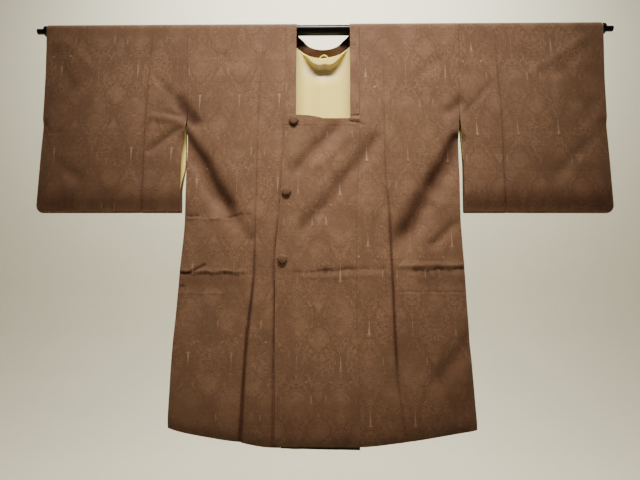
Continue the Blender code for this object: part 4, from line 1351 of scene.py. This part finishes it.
def sleeve(side):
    """A flat tube over the rod, with its bottom turned up and its outer edge sewn below the wrist."""
    cell = bpy.context.scene.coat_sizes.cell

    def sleeve_x(a, down):
        inner_x = curve_at(SLEEVE_INNER_EDGE[side], down, "x") + side * GAP / 2
        fold_x = side * curve_at(SLEEVE_PRESS, down, "x")
        return across_at(a, inner_x, fold_x, side * curve_at(CUFF_EDGE, down, "x"))

    def sloped(x, y, z, down, along, shade=0.0):
        """Places whose pattern leans out with the cuff."""
        return gathered(x, y, z, x - side * GRAIN_LEAN * down, along, shade)

    def place(a, b, out):
        bottom = sleeve_bottom(sleeve_x(a, SLEEVE_BOTTOM))
        turn_down = bottom - sleeve_back_depth(sleeve_x(a, bottom), bottom) - WALL
        down = mix(turn_down, 0, b)
        x = sleeve_x(a, down)
        y = -(sleeve_front_depth(x, down) + out)
        front = sloped(x, y, -down, down, -down, sleeve_front_shade(x, down))
        rod = over_rod(sleeve_x(a, 0), pi * (b - 1), out)
        down = mix(0, turn_down, b - 2)
        x = sleeve_x(a, down) + np.maximum(0, 1 - a) * back_edge_shift(side, down)
        back = sloped(x, sleeve_back_depth(x, down) + out, -down, down, OVER_ROD + down)
        x = sleeve_x(a, turn_down)
        turn = pi * (b - 3)
        reach = mix(sleeve_back_depth(x, turn_down), sleeve_front_depth(x, turn_down), b - 3) + out
        foot_z = -(turn_down + reach * np.sin(turn))
        foot_v = OVER_ROD + turn_down + reach * turn
        foot = sloped(x, reach * np.cos(turn), foot_z, turn_down, foot_v)
        return by_stretch(b, front, rod, back, foot)

    flat = 2 - SLEEVE_CORNER / (CUFF_EDGE[-1].x - SLEEVE_PRESS[-1].x)
    across = lines((0, 1, 0.095, cell * 0.8, EDGE_CELL, FOLD_CELL), (1, flat, 0.230, cell, FOLD_CELL))
    corner = Lines(0, pi / 2, 0.025, 0.0016, None, EDGE_CELL)
    corner.places = flat + (2 - flat) * np.sin(corner.places)
    across += corner
    along = lines(
        (0, 1, 0.440, cell, 0.0008),
        (1, 2, 0.040, 0.0028),
        (2, 3, 0.440, cell, None, 0.0008),
        (3, 4, 0.014, 0.0008),
    )

    def lined(a, b):
        """All but the silk that is turned in at the inner edge and the cuff."""
        return (a > 0.12) & (a < 1.95)

    name = f"sleeve_{SIDES[side]}"
    made = cloth(f"{name}_silk", across, along, place, (silk(), lining()), ring=True, lined=lined)
    fitted(made, "outer_silk", name)


def gusset(side):
    """The side gusset, folded inwards between the front's edge and the back's."""
    cell = bpy.context.scene.coat_sizes.cell

    def place(a, b, out):
        down = mix(SIDE_HEM, ARMPIT_DOWN, b)
        edge = np.abs(curve_at(BODY_SIDE[side], down, "x")) - GAP / 2
        front = front_depth(side * edge, down)
        back = back_depth(side * edge, down)
        reach = np.where(a < 0, front, back) - GUSSET_GAP
        width = mix(GUSSET_HEM_WIDTH, GUSSET_TOP_WIDTH, b)
        fold = np.sqrt(np.maximum(width / 2, reach + GUSSET_WALL) ** 2 - reach ** 2)
        x = side * (edge - fold * (1 - np.abs(a)) - (GUSSET_WALL - out))
        return gathered(x, a * reach, -down, a * width / 2, -down, 0.0)

    across = lines((-1, 0, 0.025, 0.0030, EDGE_CELL, 0.0008), (0, 1, 0.025, 0.0030, 0.0008, EDGE_CELL))
    along = Lines(0, 1, 0.700, cell * 1.4, EDGE_CELL, EDGE_CELL)
    name = f"gusset_{SIDES[side]}"
    made = cloth(
        f"{name}_silk", across, along, place, (silk(), lining()),
        middle=GUSSET_WALL / 2, thick=GUSSET_WALL * 0.6, lined=lambda a, b: b > 0.02,
    )
    fitted(made, "outer_silk", name)


def top_band_x(a, down):
    """Places across the front bands, from the seam at the wearer's left to the free edge."""
    seam_x = curve_at(FRONT_SEAM[1], down, "x") - GAP / 2
    return mix(seam_x, curve_at(TOP_BAND_EDGE, down, "x"), a)


def under_band_x(a, down):
    """The cloth underneath, from just behind the wearer's left seam to its own seam at the right."""
    start_x = curve_at(FRONT_SEAM[1], down, "x") + UNDER_BAND_PAST
    return mix(start_x, curve_at(FRONT_SEAM[-1], down, "x") + GAP / 2, a)


def band_down(a, b):
    hem = curve_at(FRONT_HEM, top_band_x(a, SIDE_HEM), "down")
    return mix(hem, NECK_SEAM_DOWN + GAP / 2, b)


def band_rows(cell):
    return lines(
        (0, 0.42, 0.305, cell, EDGE_CELL),
        (0.42, 0.70, 0.204, CREASE_CELL),
        (0.70, 1, 0.218, cell, None, EDGE_CELL),
    )


def near_hem(b, start, end):
    """0 further up than the start and 1 from the end down, both as shares of a band's length."""
    return eased(-b, -start, -end)


def front_band_left():
    """The wide band on top. Its free edge laps over the other front."""
    cell = bpy.context.scene.coat_sizes.cell

    def place(a, b, out):
        down = band_down(a, b) - BAND_HEM_RISE * a * near_hem(b, *BAND_HEM_RISES)
        x = top_band_x(a, down)
        return front_at(x, down, lap(x) + out)

    across = Lines(0, 1, 0.186, cell, EDGE_CELL, EDGE_CELL)
    made = cloth(
        "front_band_left_silk", across, band_rows(cell), place, (silk(), lining()),
        lined=lambda a, b: (a < 0.93) & (b > 0.02),
    )
    fitted(made, "outer_silk", "front_band_left")


def front_band_right():
    """The band under it, which reaches back to the wearer's left seam and hangs a little lower."""
    cell = bpy.context.scene.coat_sizes.cell * 1.3

    def place(a, b, out):
        drop = UNDER_BAND_DROP * (1 - UNDER_BAND_LEVELS * a)
        down = band_down(a, b) + drop * near_hem(b, *UNDER_BAND_DROPS)
        x = under_band_x(a, down)
        tucked = near_hem(b, *UNDER_BAND_TUCKS)
        placed = front_at(x, down, lap(x) + out - UNDER_BAND_TUCK * tucked)
        # The band's tucked-in hem is painted nearly black, for the shadow under the top band
        placed[..., 5] = np.maximum(placed[..., 5], DEEP_SHADE * tucked)
        return placed

    across = Lines(0, 1, 0.186, cell, 0.0010, 0.0010)
    made = cloth(
        "front_band_right_silk", across, band_rows(cell), place, (silk(), lining()),
        middle=UNDER_MIDDLE, lined=lambda a, b: (a > 0.08) & (b > 0.02),
    )
    fitted(made, "outer_silk", "front_band_right")


def neck_curve(turn, a):
    """The back of the neck, seen flat: turn runs from the wearer's right to the left, a from the seam."""
    turn = np.clip(turn, 0, pi)
    round_turn = np.sin(turn)
    half = np.where(np.cos(turn) < 0, NECK_HALF[1], NECK_HALF[-1])
    half = half - BACK_NECK_NARROWS * eased(round_turn, 0.0, 0.50)
    seam_x = -(NECK_SEAM_X - GAP / 2) * np.cos(turn)
    seam_down = (BACK_NECK_SEAM - GAP / 2) * round_turn ** BACK_SEAM_POWER
    edge_down = BACK_NECK_EDGE * round_turn ** BACK_EDGE_POWER
    return mix(seam_x, -half * np.cos(turn), a), mix(seam_down, edge_down, a)


def neck_band():
    """The collar strip: up one side of the neck, over the rod, round the back and down the other side."""

    def strip_x(side, a):
        return side * mix(NECK_SEAM_X - GAP / 2, NECK_HALF[side], a)

    def place(a, b, out):
        right_x = strip_x(-1, a)
        right = front_at(right_x, mix(NECK_SEAM_DOWN - GAP / 2, 0, b), out)
        right_rod = over_rod(right_x, pi * (b - 1), out)
        turn = pi * (b - 2)
        back_x, back_down = neck_curve(turn, a)
        back = back_at(back_x, back_down, out)
        # Painted shade on the back of the collar, where it lies in shadow, fullest at its sides
        back[..., 5] = mix(NECK_BACK_SHADE, 1.0, np.abs(np.cos(turn)))
        back[..., 1] -= NECK_LEAN * (neck_curve(turn, 0)[1] - back_down)
        left_x = strip_x(1, a)
        left_rod = over_rod(left_x, pi * (4 - b), out)
        foot = mix(NECK_SEAM_DOWN, NECK_EDGE_DOWN[1], a) - GAP
        left = front_at(left_x, mix(0, foot, b - 4), out)
        placed = by_stretch(b, right, right_rod, back, left_rod, left)
        placed[..., 3] = NECK_PATTERN_U + a * NECK_BAND_WIDTH
        placed[..., 4] = b * NECK_PATTERN_V
        return placed

    across = Lines(0, 1, NECK_BAND_WIDTH, CREASE_CELL, EDGE_CELL, EDGE_CELL)
    along = lines(
        (0, 1, 0.240, 0.0042, EDGE_CELL),
        (1, 2, 0.040, 0.0026),
        (2, 3, 0.230, 0.0030),
        (3, 4, 0.040, 0.0026),
        (4, 4.8, 0.184, 0.0042),
        (4.8, 5, 0.046, 0.0016, None, EDGE_CELL),
    )
    made = cloth("neck_band_silk", across, along, place, (silk(),))
    fitted(made, "outer_silk", "neck_band")


def strip_down(a, b):
    """The strip across the neck's lower edge, from its seam (b = 0) up to the stepping edge (b = 1)."""
    edge = mix(NECK_EDGE_DOWN[1], NECK_EDGE_DOWN[-1], eased(a, *NECK_STEP))
    return mix(NECK_SEAM_DOWN - GAP / 2, edge, b)


def neck_band_front():
    """The strip across the top of the front band, mitred into the neck band at the wearer's left."""

    def place(a, b, out):
        lower_x = mix(NECK_SEAM_X - GAP, TOP_BAND_EDGE[0].x, a)
        upper_x = mix(NECK_HALF[1] - GAP, TOP_BAND_EDGE[0].x, a)
        x = mix(lower_x, upper_x, b)
        down = strip_down(a, b)
        return front_at(x, down, lap(x) + out)

    across = lines((0, 0.3, 0.051, 0.0016, EDGE_CELL), (0.3, 1, 0.119, 0.0030, None, EDGE_CELL))
    along = Lines(0, 1, 0.021, 0.0016, EDGE_CELL, EDGE_CELL)
    made = cloth("neck_band_front_silk", across, along, place, (silk(),))
    fitted(made, "outer_silk", "neck_band_front")


def neck_band_under():
    """The same strip of the front underneath."""

    def place(a, b, out):
        x = mix(NECK_HALF[1], UNDER_STRIP_X, a)
        top_a = (NECK_SEAM_X - x) / (NECK_SEAM_X - TOP_BAND_EDGE[0].x)
        return front_at(x, strip_down(top_a, b) + GAP * b, lap(x) + out)

    across = Lines(0, 1, 0.126, 0.0040, 0.0010, 0.0010)
    along = Lines(0, 1, 0.021, 0.0030, EDGE_CELL, EDGE_CELL)
    made = cloth("neck_band_under_silk", across, along, place, (silk(),), middle=UNDER_MIDDLE)
    fitted(made, "outer_silk", "neck_band_under")


def yoke_top(x):
    inside = np.maximum(0.0, 1 - (x / NECK_SEAM_X) ** 2)
    return np.maximum(YOKE_TOP, BACK_NECK_SEAM * inside ** (BACK_SEAM_POWER / 2))


def hump(value, half_width, power=2):
    """1 at zero, and falling off on both sides."""
    return np.exp(-((value / half_width) ** power))


def pucker(x, down):
    """How far the lining stands out in front of the back, for its fullness at the collar's seam."""
    centre = x - PUCKER_X
    below = down - yoke_top(x)
    fullness = hump(centre, PUCKER_HALF, 4)
    height = ROLL_HEIGHT * hump(centre, ROLL_HALF, 4) + ROLL_END_HEIGHT
    for lobe in ROLL_LOBES:
        height = height + lobe.lift * hump(centre - lobe.centre, lobe.half_width)
    roll = eased(below, *ROLL_STARTS) * (1 - eased(below, height - ROLL_ENDS, height))
    roll = ROLL_DEPTH * fullness * roll
    tucks = TUCK_DEPTH * np.sin(2 * pi * x / TUCK_EVERY) * fullness
    tucks = tucks * eased(below, *TUCKS_GROW) * (1 - eased(below, *TUCKS_FADE))
    across, along = HOLLOW_HALF
    hollow = HOLLOW_DEPTH * hump(below - HOLLOW_DOWN, along) * hump(centre, across)
    fall = sum(wave.height * (1 + np.cos(2 * pi * (x - wave.centre) / wave.every)) for wave in FALL_WAVES)
    return roll + tucks - hollow + fall * eased(below, *FALL_STARTS) * hump(x, YOKE_FLAT, 4)


def lining_yoke():
    """The satin that shows in the back, from the collar's seam down."""

    def place(a, b, out):
        x = mix(-YOKE_HALF, YOKE_HALF, a)
        down = mix(YOKE_BOTTOM, yoke_top(x), b)
        y = back_depth(x, down) - pucker(x, down) + out
        below = down - yoke_top(x)
        # Painted shadow under the roll, and painted shade beside the collar's strips
        under_roll = eased(below, *UNDER_ROLL_STARTS) * (1 - eased(below, *UNDER_ROLL_ENDS))
        under_roll = UNDER_ROLL_SHADE * under_roll * hump(x, UNDER_ROLL_HALF, 4)
        beside_band = BESIDE_BAND_SHADE * hump(np.abs(x) - BESIDE_BAND_X, BESIDE_BAND_REACH)
        return gathered(x, y, -down, x, -down, beside_band + under_roll)

    across = lines((0, 0.36, 0.209, 0.0080), (0.36, 0.64, 0.162, 0.0016), (0.64, 1, 0.209, 0.0080))
    along = lines((0, 0.82, 0.200, 0.0040, 0.0010), (0.82, 1, 0.046, 0.0013, None, FOLD_CELL))
    made = cloth(
        "lining_yoke_satin", across, along, place, (lining(),), middle=LINING_MIDDLE, thick=LINING_THICK,
    )
    fitted(made, "lining_satin", "lining_yoke")


def lining_sleeve(side):
    """The sleeve's lining on its back cloth, which shows at the open inner edge."""

    def place(a, b, out):
        down = mix(SLEEVE_LINING_BOTTOM, SLEEVE_LINING_TOP, b)
        edge_x = np.abs(curve_at(SLEEVE_INNER_EDGE[side], down, "x")) + SLEEVE_LINING_EDGE
        edge_x = edge_x + SLEEVE_LINING_DRAWN * eased(down, *SLEEVE_LINING_DRAWS[side])
        x = side * mix(edge_x - back_edge_shift(side, down), SLEEVE_LINING_OUTER_X, a)
        return gathered(x, sleeve_back_depth(x, down) + out, -down, x, -down, 0.0)

    across = Lines(0, 1, 0.272, 0.0080, FOLD_CELL, 0.0010)
    along = Lines(0, 1, 0.375, 0.0080, 0.0010, 0.0010)
    name = f"lining_sleeve_{SIDES[side]}"
    made = cloth(
        f"{name}_satin", across, along, place, (lining(),), middle=LINING_MIDDLE, thick=LINING_THICK,
    )
    fitted(made, "lining_satin", name)


def surface_of(thing):
    """The object's mesh as a tree that rays can be cast at."""
    form = bmesh.new()
    form.from_mesh(thing.data)
    tree = BVHTree.FromBMesh(form)
    form.free()
    return tree


def button(number, spot, panels):
    """A domed button covered in the coat's cloth, gathered behind its rim."""
    form = bmesh.new()
    verts = [form.verts.new((BUTTON_RADIUS * at.reach, 0, BUTTON_HEIGHT * at.rise)) for at in BUTTON_DOME]
    edges = [form.edges.new(pair) for pair in zip(verts, verts[1:])]
    bmesh.ops.spin(
        form, geom=verts + edges, axis=(0, 0, 1), angle=2 * pi, steps=BUTTON_STEPS, use_merge=True,
    )
    bmesh.ops.remove_doubles(form, verts=form.verts, dist=WELD)
    rim_height = BUTTON_RIM * BUTTON_HEIGHT
    for vert in form.verts:
        reach = vert.co.xy.length
        turn = np.arctan2(vert.co.y, vert.co.x)
        low = max(0.0, 1 - vert.co.z / rim_height)
        pleat = PLEAT_DEPTH * sin(PLEATS * turn + number) * low * min(1.0, reach / BUTTON_RADIUS)
        if reach > 0:
            vert.co.xy *= 1 + pleat / reach
    under = [(spot.x, spot.down)]
    under += [
        (spot.x + reach * cos(turn), spot.down + reach * sin(turn))
        for reach in (BUTTON_RADIUS * 0.45, BUTTON_RADIUS * 0.9)
        for turn in np.linspace(0, 2 * pi, 17)
    ]
    starts = [Vector((x, -BEFORE_COAT, -down)) for x, down in under]
    hits = [panel.ray_cast(start, Vector((0, 1, 0)))[0] for panel in panels for start in starts]
    seat_y = min(hit.y for hit in hits if hit is not None) - GAP / 2
    lie_flat = Matrix.Rotation(pi / 2, 4, "X")
    form.transform(Matrix.Translation((spot.x, seat_y, -spot.down)) @ lie_flat)
    uv_of = form.loops.layers.uv.new("cloth")
    painted_shade_of = form.verts.layers.float.new("crease")
    # Painted shade over the whole button, deeper at its rim where it meets the cloth
    for vert in form.verts:
        low = max(0.0, 1 - (seat_y - vert.co.y) / rim_height)
        vert[painted_shade_of] = BUTTON_SHADE + BUTTON_RIM_SHADE * low
    for face in form.faces:
        for loop in face.loops:
            at = loop.vert.co
            loop[uv_of].uv = (at.x - spot.x + BUTTON_PATTERN_U * number, at.z + spot.down)
    outwards(form)
    made = solid(f"button_{number}_silk", form, (silk(),))
    fitted(made, "outer_silk", f"button_{number}")


def loop_path():
    """The loop's centre line in front of the lining and the collar: places, and how far round each is."""
    path = []
    for turn in np.linspace(0, pi, LOOP_POINTS):
        x = LOOP_X - LOOP_HALF_WIDTH * cos(turn)
        down = LOOP_FOOT_DOWN - LOOP_HEIGHT * sin(turn)
        back = back_depth(np.array(x), np.array(down))
        before_lining = back - pucker(np.array(x), np.array(down)) - LINING_GAP - LINING_WALL
        before_collar = back - NECK_LEAN * (BACK_NECK_SEAM - down)
        y = min(float(before_lining), float(before_collar)) - GAP - LOOP_RADIUS * LOOP_SWELL
        path.append((Vector((x, y, -down)), turn))
    return path


def hanging_loop():
    """A twisted cord arch over the collar's seam, swept round a bent path."""
    path = loop_path()
    form = bmesh.new()
    uv_of = form.loops.layers.uv.new("cloth")
    bmesh.ops.create_cone(
        form, cap_ends=True, segments=LOOP_SIDES, radius1=LOOP_RADIUS, radius2=LOOP_RADIUS, depth=1.0,
    )
    lengthwise = [edge for edge in form.edges if abs(edge.verts[0].co.z - edge.verts[1].co.z) > 0.5]
    bmesh.ops.subdivide_edges(form, edges=lengthwise, cuts=LOOP_POINTS - 2, use_grid_fill=True)

    def ring_and_turn(vert):
        return round((vert.co.z + 0.5) * (LOOP_POINTS - 1)), np.arctan2(vert.co.y, vert.co.x)

    for face in form.faces:
        for loop in face.loops:
            ring, turn = ring_and_turn(loop.vert)
            side = round(turn / (2 * pi) * LOOP_SIDES) % LOOP_SIDES
            loop[uv_of].uv = (side / LOOP_SIDES, ring * LOOP_STEP)
    for vert in form.verts:
        ring, turn = ring_and_turn(vert)
        centre, bend = path[ring]
        aside = Vector((-cos(bend), 0, sin(bend)))
        swell = 1 + (LOOP_SWELL - 1) * cos(2 * turn + ring * LOOP_TWIST)
        vert.co = centre + (aside * vert.co.x + Vector((0, vert.co.y, 0))) * swell
    outwards(form)
    made = solid("hanging_loop_cord", form, (cord(),))
    fitted(made, "cord", "hanging_loop")


# Operators, one for each group of pieces

class COAT_OT_rod(Operator):
    """Lacquer the rod and its ends"""

    bl_idname = "coat.rod"
    bl_label = "Rod"

    def execute(self, context):
        for name in ("rod", "rod_end_left", "rod_end_right"):
            form = bmesh.new()
            form.from_mesh(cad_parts[name].data)
            bmesh.ops.remove_doubles(form, verts=form.verts, dist=WELD)
            outwards(form)
            made = solid(f"{name}_lacquered", form, (lacquer(),))
            fitted(made, "lacquer", name)
        return {"FINISHED"}


class COAT_OT_bodies(Operator):
    """Make both lengths of the coat's body"""

    bl_idname = "coat.bodies"
    bl_label = "Body"

    def execute(self, context):
        for side in SIDES:
            body(side)
        return {"FINISHED"}


class COAT_OT_sleeves(Operator):
    """Make both sleeves"""

    bl_idname = "coat.sleeves"
    bl_label = "Sleeves"

    def execute(self, context):
        for side in SIDES:
            sleeve(side)
        return {"FINISHED"}


class COAT_OT_gussets(Operator):
    """Make the folded side gussets"""

    bl_idname = "coat.gussets"
    bl_label = "Side gussets"

    def execute(self, context):
        for side in SIDES:
            gusset(side)
        return {"FINISHED"}


class COAT_OT_front_bands(Operator):
    """Make the two overlapping front bands"""

    bl_idname = "coat.front_bands"
    bl_label = "Front bands"

    def execute(self, context):
        front_band_right()
        front_band_left()
        return {"FINISHED"}


class COAT_OT_collar(Operator):
    """Make the narrow collar strip and its level stretches"""

    bl_idname = "coat.collar"
    bl_label = "Collar"

    def execute(self, context):
        neck_band()
        neck_band_under()
        neck_band_front()
        return {"FINISHED"}


class COAT_OT_linings(Operator):
    """Make the linings that show at the neck and in the sleeves"""

    bl_idname = "coat.linings"
    bl_label = "Linings"

    def execute(self, context):
        lining_yoke()
        for side in SIDES:
            lining_sleeve(side)
        return {"FINISHED"}


class COAT_OT_trim(Operator):
    """Make the covered buttons and the hanging loop"""

    bl_idname = "coat.trim"
    bl_label = "Buttons and loop"

    def execute(self, context):
        carriers = ("front_band_left_silk", "neck_band_front_silk")
        panels = [surface_of(bpy.data.objects[name]) for name in carriers]
        for number, spot in enumerate(BUTTONS, start=1):
            button(number, spot, panels)
        hanging_loop()
        return {"FINISHED"}


class COAT_OT_stage(Operator):
    """Make the floor, the wall, the lights and the camera"""

    bl_idname = "coat.stage"
    bl_label = "Stage"

    def execute(self, context):
        settings = context.scene.coat_stage
        finish = Finish("pale_studio_wall", Roughness=0.9)
        grain = finish.noise(finish.add("ShaderNodeTexCoord", output=3), 14.0, 3.0, 0.6)
        pale = finish.done(Base_Color=finish.colour(grain, *WALL_COLOURS))
        form = bmesh.new()
        bmesh.ops.create_grid(form, x_segments=1, y_segments=FLOOR_STRIPS, size=FLOOR_HALF)
        straight = FLOOR_HALF + WALL_Y - SWEEP_RADIUS
        bend = SWEEP_RADIUS * pi / 2
        for vert in form.verts:
            run = vert.co.y + FLOOR_HALF
            turn = min(max(0.0, run - straight), bend) / SWEEP_RADIUS
            rise = SWEEP_RADIUS * (1 - cos(turn)) + max(0.0, run - straight - bend)
            vert.co.y = min(run, straight) - FLOOR_HALF + SWEEP_RADIUS * sin(turn)
            vert.co.z = rise - settings.floor_down
        floor = solid("floor_and_wall", form, (pale,))

        world = bpy.data.worlds.new("studio")
        world.use_nodes = True
        background = world.node_tree.nodes["Background"]
        background.inputs["Color"].default_value = SKY_COLOUR
        background.inputs["Strength"].default_value = settings.surround
        context.scene.world = world

        def lamp(name, at, power, colour):
            light = bpy.data.lights.new(name, "AREA")
            light.spread = radians(at.spread)
            light.shape = "RECTANGLE"
            light.size, light.size_y = at.size
            light.energy = power
            light.color = colour
            made = bpy.data.objects.new(name, light)
            made.location = at.place
            made.rotation_mode = "QUATERNION"
            made.rotation_quaternion = (Vector(at.target) - Vector(at.place)).to_track_quat("-Z", "Y")
            context.scene.collection.objects.link(made)

        lamp("main light", MAIN_LAMP, settings.key_power, LAMP_COLOUR)
        lamp("front light", FRONT_LAMP, settings.key_power * FRONT_LAMP_SHARE, LAMP_COLOUR)
        lamp("wall light", WALL_LAMP, WALL_LAMP_POWER, WALL_LAMP_COLOUR)

        camera = bpy.data.objects.new("camera", bpy.data.cameras.new("camera"))
        camera.data.sensor_width = SENSOR
        camera.data.lens = CAMERA_FOCUS * SENSOR / PHOTO_WIDTH
        camera.data.clip_start = NEAREST_SEEN
        turned = Matrix()
        for angle, axis in ((CAMERA_YAW, "Z"), (90 + CAMERA_PITCH, "X"), (CAMERA_ROLL, "Z")):
            turned = turned @ Matrix.Rotation(radians(angle), 4, axis)
        camera.matrix_world = Matrix.Translation(CAMERA_PLACE) @ turned
        context.scene.collection.objects.link(camera)
        context.scene.camera = camera
        return {"FINISHED"}


class COAT_PT_panel(Panel):
    bl_label = "Coat"
    bl_idname = "COAT_PT_panel"
    bl_space_type = "VIEW_3D"
    bl_region_type = "UI"
    bl_category = "Coat"

    def draw(self, context):
        for operator in OPERATORS:
            self.layout.operator(operator.bl_idname)
        for group in (context.scene.coat_sizes, context.scene.coat_colours, context.scene.coat_stage):
            for name in group.__annotations__:
                self.layout.prop(group, name)


GROUPS = (CoatSizes, CoatColours, CoatStage)
OPERATORS = (
    COAT_OT_rod,
    COAT_OT_bodies,
    COAT_OT_sleeves,
    COAT_OT_gussets,
    COAT_OT_front_bands,
    COAT_OT_collar,
    COAT_OT_linings,
    COAT_OT_trim,
    COAT_OT_stage,
)


def register():
    for kind in (*GROUPS, *OPERATORS, COAT_PT_panel):
        bpy.utils.register_class(kind)
    bpy.types.Scene.coat_sizes = PointerProperty(type=CoatSizes)
    bpy.types.Scene.coat_colours = PointerProperty(type=CoatColours)
    bpy.types.Scene.coat_stage = PointerProperty(type=CoatStage)


def unregister():
    del bpy.types.Scene.coat_sizes
    del bpy.types.Scene.coat_colours
    del bpy.types.Scene.coat_stage
    for kind in (COAT_PT_panel, *reversed(OPERATORS), *reversed(GROUPS)):
        bpy.utils.unregister_class(kind)


def main():
    register()
    bpy.ops.coat.rod()
    bpy.ops.coat.bodies()
    bpy.ops.coat.sleeves()
    bpy.ops.coat.gussets()
    bpy.ops.coat.front_bands()
    bpy.ops.coat.collar()
    bpy.ops.coat.linings()
    bpy.ops.coat.trim()
    bpy.ops.coat.stage()


if __name__ == "__main__":
    main()
